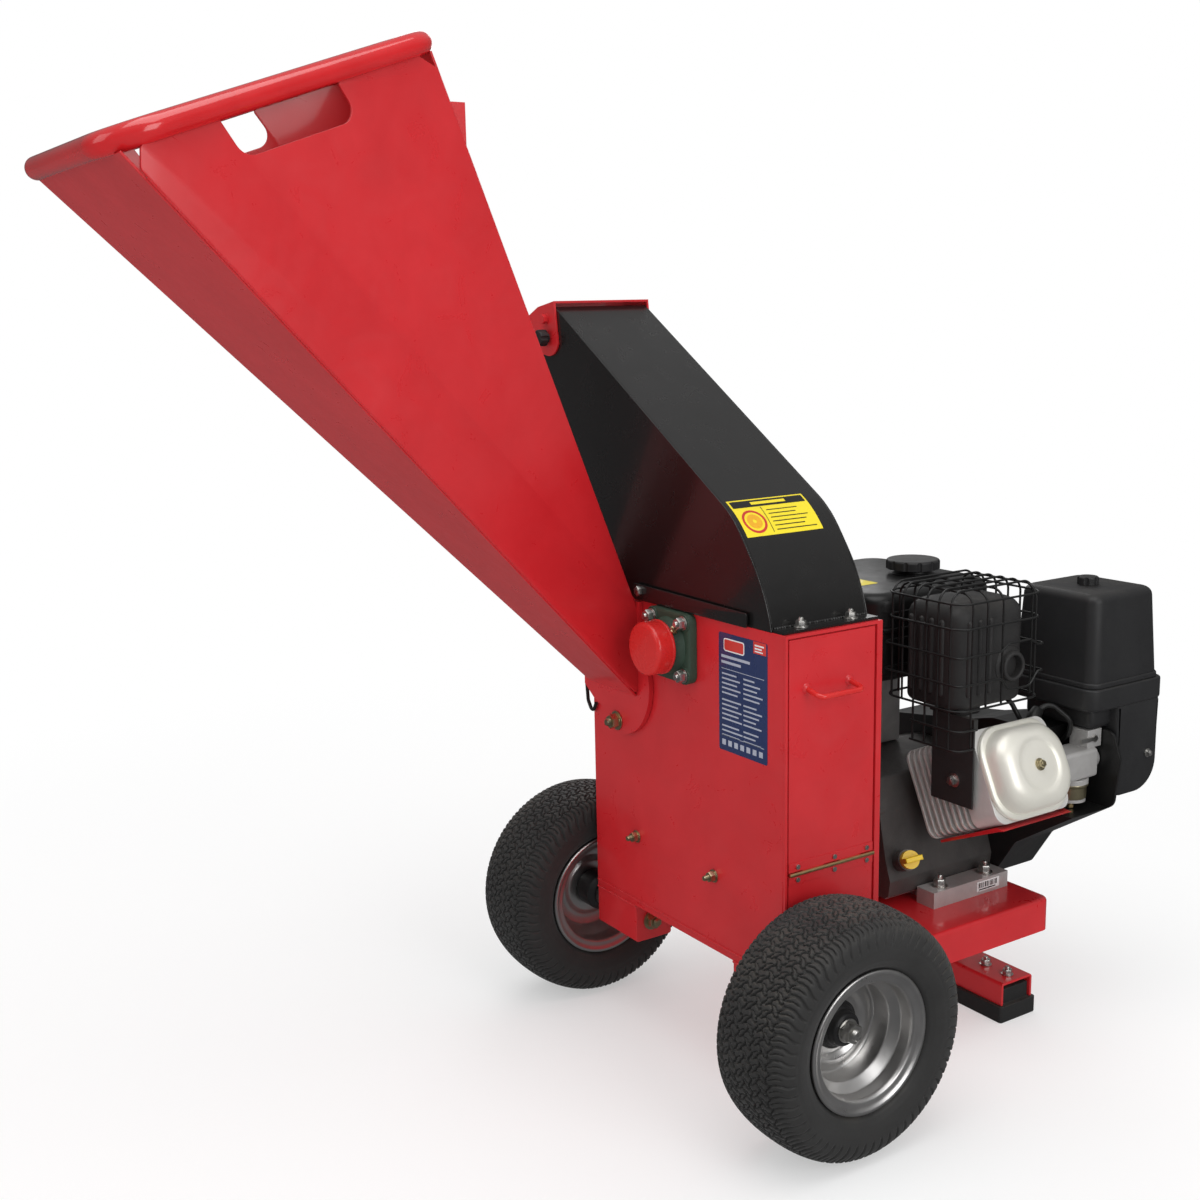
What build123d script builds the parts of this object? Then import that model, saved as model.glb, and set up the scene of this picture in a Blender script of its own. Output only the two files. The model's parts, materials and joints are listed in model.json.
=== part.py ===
from build123d import *
import math
import os
from functools import cache

# Two-wheeled, engine-driven chipper: a sheet housing with a disc rotor, a tilted
# feed hopper in front, a discharge chute on top and an engine on a frame behind.
# Millimetres. +X towards the door-side wheel, +Y from the feed hopper towards the
# engine, +Z up, ground at z = 0. Front is -Y, left is -X. The parts are drawn with
# the axle at x = y = 0 and moved by SHIFT on export, which puts the origin on the
# ground at the centre of the machine's bounding box.

os.makedirs("parts", exist_ok=True)

# ---------------------------------------------------------------- dimensions
SHIFT = (30.595, 64.055, 0.0)

SHEET = 4.0            # housing and frame sheet thickness
THIN = 3.0             # hopper and chute sheet thickness

# housing box
BOX_X = 215.0          # half width
BOX_FRONT, BOX_BACK = -28.0, 131.0
BOX_BOTTOM, BOX_TOP = 188.0, 646.0
INNER_FRONT, INNER_BACK = BOX_FRONT + SHEET, BOX_BACK - SHEET

# rotor
ROTOR_X, ROTOR_Z = -8.0, 597.0
SHAFT_R = 12.5
BORE_R = 12.55         # running bore on the shaft
SHAFT_HOLE_R = 20.0    # clearance hole in sheet metal
DISC_R, DISC_FRONT, DISC_BACK = 192.0, -8.0, 6.0
KNIFE_ANGLES = (20, 200)

# belt drive
CRANK_X, CRANK_Z = 8.0, 300.0
PULLEY_Y, PULLEY_WIDTH = 170.0, 34.0
DRIVEN_R, DRIVE_R = 56.0, 45.0
GROOVES = (9.5, 24.5)  # groove centres from the pulley's front face

# flange bearings
FLANGE_THICK = 13.0
FLANGE_BOLT = 35.4     # bolt offset from the rotor axis, along X and Z

# frame
FRAME_BACK, FRAME_TOP = 475.0, 190.0

# wheels and stub axles
TYRE_R, TYRE_HALF_WIDTH = 160.0, 64.0
AXLE_Z = TYRE_R
WHEEL_X = 290.6
AXLE_IN, AXLE_OUT = 114.0, 304.8

# door, hinged along its lower edge
DOOR_BACK_X, DOOR_FACE_X = BOX_X + 0.3, BOX_X + 3.3
DOOR_Y0, DOOR_Y1, DOOR_Z0, DOOR_Z1 = -22.0, 119.0, 341.0, 640.0
HINGE_X, HINGE_Z = 220.7, 339.0
HINGE_RIVET_YS = (-8, 53, 108)

# hopper throat; "near" is the side towards the rotor, "far" the outer left side
THROAT_Y = -36.0
THROAT_NEAR_X, THROAT_FAR_X = -91.0, -210.0
THROAT_Z0, THROAT_Z1 = 510.0, 632.0
INLET_INSET = 7.0      # front plate opening inside the throat
PIVOT_X, PIVOT_Z, PIVOT_R = -142.0, 462.0, 6.0


# ------------------------------------------------------------- small helpers
def slab(x0, x1, y0, y1, z0, z1):
    """Rectangular block given by its limits."""
    with BuildPart() as block:
        with BuildSketch(Plane.XY.offset(z0)):
            with Locations(((x0 + x1) / 2, (y0 + y1) / 2)):
                Rectangle(x1 - x0, y1 - y0)
        extrude(amount=z1 - z0)
    return block.part


def plane_y(x, y, z):
    """Plane facing +Y: local x is +X, local y is -Z."""
    return Plane(origin=(x, y, z), x_dir=(1, 0, 0), z_dir=(0, 1, 0))


def plane_xz(y):
    """Plane with world (x, z) coordinates at y; it faces -Y, so extrude by a minus."""
    return Plane.XZ.offset(-y)


def rod(plane, radius, length):
    """Round bar standing on a plane."""
    with BuildPart() as bar:
        with BuildSketch(plane):
            Circle(radius)
        extrude(amount=length)
    return bar.part


def rod_x(y, z, radius, x0, x1):
    return rod(Plane(origin=(x0, y, z), x_dir=(0, 1, 0), z_dir=(1, 0, 0)), radius, x1 - x0)


def rod_y(x, z, radius, y0, y1):
    return rod(plane_y(x, y0, z), radius, y1 - y0)


def rod_z(x, y, radius, z0, z1):
    return rod(Plane(origin=(x, y, z0), x_dir=(1, 0, 0), z_dir=(0, 0, 1)), radius, z1 - z0)


def plate_xz(points, y0, y1):
    """Flat plate between y0 and y1 from a closed (x, z) outline."""
    with BuildPart() as plate:
        with BuildSketch(plane_xz(y0)):
            with BuildLine():
                Polyline(*points, close=True)
            make_face()
        extrude(amount=-(y1 - y0))
    return plate.part


def hex_bolt(x, y, z, direction, across_flats, height, washer=0.0, tail=0.0):
    """Hex head on a washer of the given radius, with an optional round tail."""
    base = Plane(origin=(x, y, z), z_dir=direction)
    washer_thick = 1.5 if washer > 0 else 0.0
    with BuildPart() as bolt:
        if washer > 0:
            with BuildSketch(base):
                Circle(washer)
            extrude(amount=washer_thick)
        with BuildSketch(base.offset(washer_thick)):
            RegularPolygon(across_flats / 2, 6, major_radius=False)
        extrude(amount=height)
        if tail > 0:
            with BuildSketch(base.offset(height)):
                Circle(across_flats * 0.29)
            extrude(amount=tail + washer_thick)
    return bolt.part


def cut(piece):
    """Subtract a piece from the part being built."""
    add(piece, mode=Mode.SUBTRACT)


def ease(edges, radius):
    """Fillet the edges of the part being built."""
    # Guards against a radius that doesn't fit: a smaller one is tried, and the
    # edges stay sharp if none fits.
    for share in (1.0, 0.6, 0.3):
        try:
            fillet(edges, radius * share)
            return
        except (ValueError, RuntimeError):
            continue


def polar(x, y, radius, degrees):
    angle = math.radians(degrees)
    return x + radius * math.cos(angle), y + radius * math.sin(angle)


def across(side, inner, outer):
    """X limits of a piece on the side given by -1 or 1."""
    return sorted((side * inner, side * outer))


# ================================================================== housing
def front_plate():
    """Front sheet with the feed inlet and the shaft hole."""
    y0, y1 = BOX_FRONT, INNER_FRONT
    with BuildPart() as plate:
        add(slab(-BOX_X, BOX_X, y0, y1, BOX_BOTTOM, BOX_TOP))
        cut(slab(THROAT_FAR_X + INLET_INSET, THROAT_NEAR_X - INLET_INSET, y0 - 1, y1 + 1,
                 THROAT_Z0 + INLET_INSET, THROAT_Z1 - INLET_INSET))
        cut(rod_y(ROTOR_X, ROTOR_Z, SHAFT_HOLE_R, y0 - 1, y1 + 1))
    return plate.part


def rear_plate():
    y0, y1 = INNER_BACK, BOX_BACK
    with BuildPart() as plate:
        add(slab(-BOX_X, BOX_X, y0, y1, BOX_BOTTOM, BOX_TOP))
        cut(rod_y(ROTOR_X, ROTOR_Z, SHAFT_HOLE_R, y0 - 1, y1 + 1))
    return plate.part


def wrap_sheet():
    """Left side and bottom, one folded sheet."""
    inner_x = BOX_X - SHEET
    with BuildPart() as sheet:
        add(slab(-BOX_X, -inner_x, INNER_FRONT, INNER_BACK, BOX_BOTTOM, BOX_TOP))
        add(slab(-inner_x, inner_x, INNER_FRONT, INNER_BACK, BOX_BOTTOM, BOX_BOTTOM + SHEET))
    return sheet.part


def door_frame():
    """Right side with its opening, raised border strips and fixed lower panel."""
    inner_x, strip_x = BOX_X - SHEET, BOX_X + 4
    border_y0, border_y1, border_z = -24.5, 122, 642
    with BuildPart() as frame:
        add(slab(inner_x, BOX_X, INNER_FRONT, INNER_BACK, BOX_BOTTOM, BOX_TOP))
        cut(slab(inner_x - 1, BOX_X + 1, -14, 110, 352, 630))
        add(slab(BOX_X, strip_x, border_y1, BOX_BACK, BOX_BOTTOM, BOX_TOP))
        add(slab(BOX_X, strip_x, BOX_FRONT, border_y0, BOX_BOTTOM, BOX_TOP))
        add(slab(BOX_X, strip_x, border_y0, border_y1, border_z, BOX_TOP))
        add(slab(BOX_X, DOOR_FACE_X, DOOR_Y0, DOOR_Y1, 196, 336.5))
    return frame.part


@cache
def scroll_liner():
    """Curved liner round the rotor between the end plates, open at the top."""
    inner_r, outer_r, open_z = 200.0, 203.0, 641
    with BuildPart() as liner:
        with BuildSketch(plane_y(ROTOR_X, INNER_FRONT, ROTOR_Z)):
            Circle(outer_r)
            Circle(inner_r, mode=Mode.SUBTRACT)
        extrude(amount=INNER_BACK - INNER_FRONT)
        cut(slab(-300, 300, BOX_FRONT - 5, BOX_BACK + 5, open_z, 900))
    return liner.part


def bed_knife():
    """Fixed knife at the lower edge of the inlet."""
    liner = scroll_liner()
    with BuildPart() as knife:
        add(slab(-196, -100, INNER_FRONT, -16, 496, 516))
        cut(liner)
    return knife.part


# ============================================================== rotor group
def rotor_shaft():
    with BuildPart() as shaft:
        add(rod_y(ROTOR_X, ROTOR_Z, SHAFT_R, -68, 208))
        chamfer(shaft.edges().filter_by(GeomType.CIRCLE), 1.2)
    return shaft.part


def rotor_disc():
    """Disc with a hub behind it and one long slot for each knife."""
    hub_r, hub_back = 36, 52
    slot_radius, slot_length, slot_width = 120, 110, 18
    with BuildPart() as disc:
        add(rod_y(ROTOR_X, ROTOR_Z, DISC_R, DISC_FRONT, DISC_BACK))
        add(rod_y(ROTOR_X, ROTOR_Z, hub_r, DISC_BACK, hub_back))
        cut(rod_y(ROTOR_X, ROTOR_Z, SHAFT_R, -20, 60))
        for angle in KNIFE_ANGLES:
            with BuildSketch(plane_y(ROTOR_X, DISC_FRONT, ROTOR_Z)):
                with Locations(polar(0, 0, slot_radius, angle)):
                    SlotOverall(slot_length, slot_width, rotation=angle)
            extrude(amount=DISC_BACK - DISC_FRONT, mode=Mode.SUBTRACT)
    return disc.part


def rotor_knives():
    """Two knives on the front of the disc, beside the slots, with bolt heads."""
    thick, head_height = 6, 1.8
    knives = []
    for angle in KNIFE_ANGLES:
        with BuildPart() as knife:
            with BuildSketch(plane_y(ROTOR_X, DISC_FRONT, ROTOR_Z)):
                with Locations(Location((0, 0), angle)):
                    with Locations((122, -24)):
                        Rectangle(104, 30)
            extrude(amount=-thick)
            with BuildSketch(plane_y(ROTOR_X, DISC_FRONT - thick, ROTOR_Z)):
                with Locations(Location((0, 0), angle)):
                    with Locations((90, -28), (122, -28), (154, -28)):
                        RegularPolygon(6, 6)
            extrude(amount=-head_height)
        knives.append(knife.part)
    return Compound(children=knives)


def fan_paddles():
    """Four blades behind the disc, each with a foot lying on it."""
    length, thick, foot = 118, 5, 6
    centre, offset = 125, 20
    paddles = []
    for angle in (0, 90, 180, 270):
        with BuildPart() as paddle:
            with BuildSketch(plane_y(ROTOR_X, DISC_BACK, ROTOR_Z)):
                with Locations(Location((0, 0), angle)):
                    with Locations((centre, offset)):
                        Rectangle(length, thick)
                    with Locations((centre, offset + (thick + foot) / 2)):
                        Rectangle(length, foot)
            extrude(amount=foot)
            with BuildSketch(plane_y(ROTOR_X, DISC_BACK + foot, ROTOR_Z)):
                with Locations(Location((0, 0), angle)):
                    with Locations((centre, offset)):
                        Rectangle(length, thick)
            extrude(amount=96)
        paddles.append(paddle.part)
    return Compound(children=paddles)


# =============================================================== belt drive
def pulley(x, z, radius):
    """Two-groove V pulley on a shaft along Y."""
    depth, half_bottom, half_top = 13, 3.6, 5.9
    with BuildPart() as wheel:
        with BuildSketch(plane_y(x, PULLEY_Y, z)):
            Circle(radius)
        extrude(amount=PULLEY_WIDTH)
        for groove in GROOVES:
            with BuildSketch(Plane(origin=(x, PULLEY_Y, z), x_dir=(1, 0, 0), z_dir=(0, 0, 1))):
                with BuildLine():
                    Polyline((radius - depth, groove - half_bottom),
                             (radius + 1, groove - half_top),
                             (radius + 1, groove + half_top),
                             (radius - depth, groove + half_bottom), close=True)
                make_face()
            revolve(axis=Axis((x, PULLEY_Y, z), (0, 1, 0)), mode=Mode.SUBTRACT)
        with BuildSketch(plane_y(x, PULLEY_Y, z)):
            Circle(SHAFT_R)
        extrude(amount=PULLEY_WIDTH, mode=Mode.SUBTRACT)
    return wheel.part


def driven_pulley():
    return pulley(ROTOR_X, ROTOR_Z, DRIVEN_R)


def drive_pulley():
    """Crankshaft end with its pulley and clutch drum, one turning piece."""
    with BuildPart() as drive:
        add(pulley(CRANK_X, CRANK_Z, DRIVE_R))
        add(rod_y(CRANK_X, CRANK_Z, SHAFT_R, 162, 244))
        add(rod_y(CRANK_X, CRANK_Z, 30, PULLEY_Y + PULLEY_WIDTH, 211))
    return drive.part


def drive_hull(y, rotor_r, crank_r, depth):
    """Prism wrapped tightly round a circle on the rotor axis and one on the crank."""
    with BuildPart() as prism_part:
        with BuildSketch(plane_y(0, y, 0)):
            with BuildSketch(mode=Mode.PRIVATE) as hull:
                with Locations((ROTOR_X, -ROTOR_Z)):
                    Circle(rotor_r)
                with Locations((CRANK_X, -CRANK_Z)):
                    Circle(crank_r)
                make_hull()
            add(hull.sketch)
        extrude(amount=depth)
    return prism_part.part


def v_belts():
    width, outer_drop, inner_drop = 6.4, 2, 11
    belts = []
    for groove in GROOVES:
        y = PULLEY_Y + groove - width / 2
        with BuildPart() as belt:
            add(drive_hull(y, DRIVEN_R - outer_drop, DRIVE_R - outer_drop, width))
            cut(drive_hull(y, DRIVEN_R - inner_drop, DRIVE_R - inner_drop, width))
        belts.append(belt.part)
    return Compound(children=belts)


def belt_guard():
    """Deep cover over the belt drive, open towards the housing."""
    rotor_r, crank_r, depth = 69, 62, 87
    wall, end_wall = 2.5, 3
    with BuildPart() as guard:
        add(drive_hull(BOX_BACK, rotor_r, crank_r, depth))
        ease(guard.faces().sort_by(Axis.Y)[-1].edges(), 8)
        cut(drive_hull(BOX_BACK, rotor_r - wall, crank_r - wall, depth - end_wall))
        cut(rod_y(CRANK_X, CRANK_Z, SHAFT_HOLE_R, 200, 230))
    return guard.part


# ========================================================= flange bearings
def flange_bearing(side, y_face):
    """Square flange unit on y_face, its boss standing out along side * Y."""
    base = Plane(origin=(ROTOR_X, y_face, ROTOR_Z), x_dir=(1, 0, 0), z_dir=(0, side, 0))
    with BuildPart() as bearing:
        with BuildSketch(base):
            RectangleRounded(95, 95, 13)
        extrude(amount=FLANGE_THICK)
        with BuildSketch(base.offset(FLANGE_THICK)):
            Circle(37)
        extrude(amount=10, taper=20)
        with BuildSketch(base.offset(FLANGE_THICK)):
            Circle(31)
        extrude(amount=20)
        with BuildSketch(base):
            Circle(BORE_R)
        extrude(amount=60, mode=Mode.SUBTRACT)
    return bearing.part


def bearing_housings():
    return Compound(children=[flange_bearing(-1, BOX_FRONT), flange_bearing(1, BOX_BACK)])


def bearing_cap():
    """Round cap over the front bearing."""
    with BuildPart() as cap:
        add(rod_y(ROTOR_X, ROTOR_Z, 36, BOX_FRONT - 54, BOX_FRONT - 25))
        ease(cap.faces().sort_by(Axis.Y)[0].edges(), 4)
        cut(rod_y(ROTOR_X, ROTOR_Z, 31.0, BOX_FRONT - 50, BOX_FRONT - 20))
    return cap.part


# ======================================================= frame and supports
def engine_frame():
    """Folded tray under the engine, open below and at the housing end."""
    with BuildPart() as frame:
        add(slab(-BOX_X, BOX_X, BOX_BACK, FRAME_BACK, 141, FRAME_TOP))
        ease(frame.edges().filter_by(Axis.Z).group_by(Axis.Y)[-1], 14)
        ease(frame.faces().sort_by(Axis.Z)[-1].edges()
             .filter_by(lambda e: e.center().Y > BOX_BACK + 1), 6)
        cut(slab(-BOX_X + SHEET, BOX_X - SHEET, BOX_BACK - 1, FRAME_BACK - SHEET,
                 140, FRAME_TOP - SHEET))
    return frame.part


def frame_brackets():
    """Two box brackets for the stub axles and the short post above the foot."""
    brackets = []
    for side in (-1, 1):
        x0, x1 = across(side, AXLE_IN, 214)
        with BuildPart() as bracket:
            add(slab(x0, x1, -28, 34, 131, BOX_BOTTOM))
            ease(bracket.edges().filter_by(Axis.X).group_by(Axis.Z)[0], 4)
            cut(slab(x0 + SHEET, x1 - SHEET, -24, 30, 135, BOX_BOTTOM + 1))
            cut(rod_x(0, AXLE_Z, BORE_R, x0 - 1, x1 + 1))
        brackets.append(bracket.part)
    with BuildPart() as post:
        add(slab(-45, 45, 416, 470, 60, FRAME_TOP - SHEET))
        cut(slab(-41, 41, 420, 466, 59, FRAME_TOP - SHEET + 1))
    brackets.append(post.part)
    return Compound(children=brackets)


def foot_channel():
    """Cross channel, open below and at its ends."""
    half_length, y0, y1, z0, z1 = 186, 411, 475, 25, 60
    with BuildPart() as channel:
        add(slab(-half_length, half_length, y0, y1, z0, z1))
        ease(channel.edges().filter_by(Axis.X).group_by(Axis.Z)[-1], 5)
        cut(slab(-half_length - 1, half_length + 1, y0 + SHEET, y1 - SHEET, z0 - 1, z1 - SHEET))
    return channel.part


def foot_pads():
    """Ground pads, each with a block that fits up into the channel."""
    y0, y1, height = 406, 480, 25
    pads = []
    for side in (-1, 1):
        x0, x1 = across(side, 92, 190)
        with BuildPart() as pad:
            add(slab(x0, x1, y0, y1, 0, height))
            ease(pad.edges().filter_by(Axis.Z), 5)
            ease(pad.faces().sort_by(Axis.Z)[0].edges(), 2)
            add(slab(x0 + 8, x1 - 8, y0 + 10, y1 - 10, height, 48))
        pads.append(pad.part)
    return Compound(children=pads)


def axle_stubs():
    """One stub axle per wheel, with a collar outside the bracket."""
    stubs = []
    for side in (-1, 1):
        with BuildPart() as stub:
            add(rod_x(0, AXLE_Z, SHAFT_R, *across(side, AXLE_IN, AXLE_OUT)))
            add(rod_x(0, AXLE_Z, 18, *across(side, 216, 238)))
        stubs.append(stub.part)
    return Compound(children=stubs)


# ================================================================== wheels
# Profiles hold (radius, offset outwards along X from the wheel centre) and are
# turned about the axle.
SIDEWALL = [(92.5, -49.5), (106, -60), (124, -TYRE_HALF_WIDTH), (142, -60.5), (153, -50)]
TREAD = [(153, -50), (158.6, -26), (TYRE_R, 0), (158.6, 26), (153, 50)]
TYRE_INSIDE = [(96, 38), (110, 50), (126, 54), (140, 48), (149, 0),
               (140, -48), (126, -54), (110, -50), (96, -38)]

RIM_PROFILE = [
    (90, 56.7), (92, 54.5), (92, 50.5), (80, 50.5), (77.5, 49.5), (77.5, 30),
    (66, 20), (66, -14), (77.5, -28), (77.5, -49.5), (80, -50.5), (92, -50.5),
    (92, -54.5), (90, -56.7), (87, -56.7), (84, -53.5), (75, -52.5),
    (74, -48), (74, -29), (62.5, -15), (62.5, -10), (48, -7), (40, -13),
    (24.2, -13), (24.2, -9.5), (38.5, -9.5), (47, -3.4), (62.5, -6.4),
    (62.5, 21), (74, 31), (74, 48), (75, 52.5), (84, 53.5), (87, 56.7),
]
HUB_PROFILE = [
    (BORE_R, -52), (20, -52), (28, -44), (28, -13.5), (24.1, -13.2), (24.1, -9.3),
    (28, -9), (28, -3), (26.5, -1.5), (21.5, -1.5), (21.5, 12), (19.5, 14), (BORE_R, 14),
]


def wheel_plane(side):
    """Local x is the radius along +Y, local y points outwards along X."""
    return Plane(origin=(side * WHEEL_X, 0, AXLE_Z), x_dir=(0, 1, 0), z_dir=(0, 0, -side))


def wheel_axis(side):
    return Axis((side * WHEEL_X, 0, AXLE_Z), (1, 0, 0))


def turned(side, profile):
    """Solid turned about the axle from a closed straight-sided profile."""
    with BuildPart() as body:
        with BuildSketch(wheel_plane(side)):
            with BuildLine():
                Polyline(*profile, close=True)
            make_face()
        revolve(axis=wheel_axis(side))
    return body.part


def tyre(side):
    outer_sidewall = [(radius, -offset) for radius, offset in reversed(SIDEWALL)]
    with BuildPart() as body:
        with BuildSketch(wheel_plane(side)):
            with BuildLine():
                Polyline((78, -49.5), SIDEWALL[0])
                Spline(*SIDEWALL, tangents=((0.25, -1), (0.55, 1)))
                Spline(*TREAD)
                Spline(*outer_sidewall, tangents=((-0.55, 1), (-0.25, -1)))
                Polyline(outer_sidewall[-1], (78, 49.5))
                Polyline((78, 49.5), (78, 38), TYRE_INSIDE[0])
                Spline(*TYRE_INSIDE)
                Polyline(TYRE_INSIDE[-1], (78, -38), (78, -49.5))
            make_face()
        revolve(axis=wheel_axis(side))
    return body.part


def rim(side):
    """Two-sided rim with a deep stepped dish and a valve stem."""
    with BuildPart() as body:
        add(turned(side, RIM_PROFILE))
        add(rod_x(0, AXLE_Z + 55, 4.0, *across(side, WHEEL_X - 4.5, WHEEL_X + 22)))
    return body.part


def hub(side):
    return turned(side, HUB_PROFILE)


# ============================================================= access door
def access_door():
    """Door sheet with two upright ribs reaching into the opening."""
    with BuildPart() as door:
        add(slab(DOOR_BACK_X, DOOR_FACE_X, DOOR_Y0, DOOR_Y1, DOOR_Z0, DOOR_Z1))
        ease(door.edges().filter_by(Axis.X), 2)
        for y in (-12.5, 105.5):
            add(slab(BOX_X - 8, DOOR_BACK_X, y, y + 3, 354, 628))
    return door.part


def door_handle():
    """U-shaped wire pull, trimmed flush with the door's outer face."""
    y0, y1, foot_z, grip_z = 6, 76, 576, 570
    grip_x = BOX_X + 30
    with BuildPart() as handle:
        with BuildLine() as path:
            FilletPolyline((DOOR_FACE_X, y0, foot_z), (grip_x, y0, grip_z),
                           (grip_x, y1, grip_z), (DOOR_FACE_X, y1, foot_z), radius=7)
        with BuildSketch(Plane(origin=(DOOR_FACE_X, y0, foot_z), z_dir=(26.7, 0, -6))):
            Circle(3.5)
        sweep(path=path.line)
        cut(slab(BOX_X + 0.5, DOOR_FACE_X, 0, 82, 560, 590))
    return handle.part


def knuckle(y0, y1, inner_r):
    with BuildPart() as barrel:
        with BuildSketch(plane_y(HINGE_X, y0, HINGE_Z)):
            Circle(2.4)
            Circle(inner_r, mode=Mode.SUBTRACT)
        extrude(amount=y1 - y0)
    return barrel.part


def hinge_fixed_leaf():
    """Lower leaf with the hinge pin and its rivets."""
    pin_r = 1.2
    leaf_x, leaf_top = BOX_X + 4.3, 336.6
    with BuildPart() as leaf:
        add(slab(DOOR_FACE_X, leaf_x, DOOR_Y0, DOOR_Y1, 326, leaf_top))
        for y0, y1 in ((-22, 0), (35, 62), (97, 119)):
            add(knuckle(y0, y1, pin_r))
            add(slab(DOOR_FACE_X, leaf_x, y0, y1, leaf_top, HINGE_Z))
        add(rod_y(HINGE_X, HINGE_Z, pin_r, DOOR_Y0, DOOR_Y1))
    rivets = [rod_x(y, 331, 3.2, leaf_x, BOX_X + 6.0) for y in HINGE_RIVET_YS]
    return Compound(children=[leaf.part] + rivets)


def hinge_moving_leaf():
    """Upper leaf with its rivets."""
    leaf_x, leaf_bottom = BOX_X + 4.2, 342
    with BuildPart() as leaf:
        add(slab(DOOR_FACE_X, leaf_x, DOOR_Y0, DOOR_Y1, leaf_bottom, 354))
        for y0, y1 in ((0.3, 34.7), (62.3, 96.7)):
            add(knuckle(y0, y1, 1.27))
            add(slab(DOOR_FACE_X, leaf_x, y0, y1, HINGE_Z + 1.6, leaf_bottom))
    rivets = [rod_x(y, 348, 3.2, leaf_x, BOX_X + 6.0) for y in HINGE_RIVET_YS]
    return Compound(children=[leaf.part] + rivets)


# ============================================================== feed hopper
# Corner lists run near low, near high, far high, far low.
NEAR_LOW, NEAR_HIGH, FAR_HIGH, FAR_LOW = range(4)
THROAT = [
    Vector(THROAT_NEAR_X, THROAT_Y, THROAT_Z0),
    Vector(THROAT_NEAR_X, THROAT_Y, THROAT_Z1),
    Vector(THROAT_FAR_X, THROAT_Y, THROAT_Z1),
    Vector(THROAT_FAR_X, THROAT_Y, THROAT_Z0),
]
NOMINAL_MOUTH = [
    Vector(75.0, -735.0, 1195.0),
    Vector(-15.0, -355.0, 1325.0),
    Vector(-228.0, -355.0, 1325.0),
    Vector(-250.0, -735.0, 1195.0),
]
# rim tube corners from the mouth corners: (along X, up the slope of the mouth)
RIM_OFFSETS = [(10, -18), (6, 12), (-6, 12), (-10, -18)]
RIM_LIFT = 25.0        # tube centre line above the mouth
RIM_TUBE_R = 16.0


def between(start, end, share):
    return start + (end - start) * share


def outward(normal, direction):
    """Unit normal, flipped where needed to point along the direction."""
    normal = normal.normalized()
    return normal if normal.dot(Vector(*direction)) > 0 else -normal


def corner_edge(corner):
    return NOMINAL_MOUTH[corner] - THROAT[corner]


THROAT_UP = THROAT[NEAR_HIGH] - THROAT[NEAR_LOW]
NEAR_OUT = outward(corner_edge(NEAR_LOW).cross(THROAT_UP), (1, 0, 0))
FAR_OUT = outward(corner_edge(FAR_LOW).cross(THROAT_UP), (-1, 0, 0))
FLOOR_OUT = outward(corner_edge(NEAR_LOW).cross(Vector(1, 0, 0)), (0, 0, -1))
BACK_OUT = outward(corner_edge(NEAR_HIGH).cross(Vector(1, 0, 0)), (0, 1, 0))

# direction up the slope of the mouth, and the normal out of it
MOUTH_RISE = NOMINAL_MOUTH[NEAR_HIGH] - NOMINAL_MOUTH[NEAR_LOW]
MOUTH_UP = Vector(0, MOUTH_RISE.Y, MOUTH_RISE.Z).normalized()
MOUTH_OUT = Vector(0, -MOUTH_UP.Z, MOUTH_UP.Y)

# the sheets run slightly past the nominal mouth, to just under the tube
MOUTH = [between(throat, mouth, 1.006) for throat, mouth in zip(THROAT, NOMINAL_MOUTH)]


def sheet_from(points, normal, thick):
    """Flat sheet with the given corners, thickened along the normal."""
    x_dir = (points[1] - points[0]).normalized()
    plane = Plane(origin=points[0], x_dir=x_dir, z_dir=normal.normalized())
    local = [plane.to_local_coords(point) for point in points]
    with BuildPart() as sheet:
        with BuildSketch(plane):
            with BuildLine():
                Polyline(*[(point.X, point.Y) for point in local], close=True)
            make_face()
        extrude(amount=thick)
    return sheet.part


@cache
def rim_tube():
    """Bent round tube in one loop above the mouth."""
    corners = [mouth + MOUTH_OUT * RIM_LIFT + MOUTH_UP * up + Vector(dx, 0, 0)
               for mouth, (dx, up) in zip(NOMINAL_MOUTH, RIM_OFFSETS)]
    plane = Plane(origin=corners[0], x_dir=MOUTH_UP, z_dir=MOUTH_OUT)
    local = [plane.to_local_coords(corner) for corner in corners]
    with BuildPart() as tube:
        with BuildLine(plane) as loop:
            FilletPolyline(*[(point.X, point.Y) for point in local], radius=45, close=True)
        with BuildSketch(Plane(origin=loop.line @ 0, z_dir=loop.line % 0)):
            Circle(RIM_TUBE_R)
        sweep(path=loop.line)
    return tube.part


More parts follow.
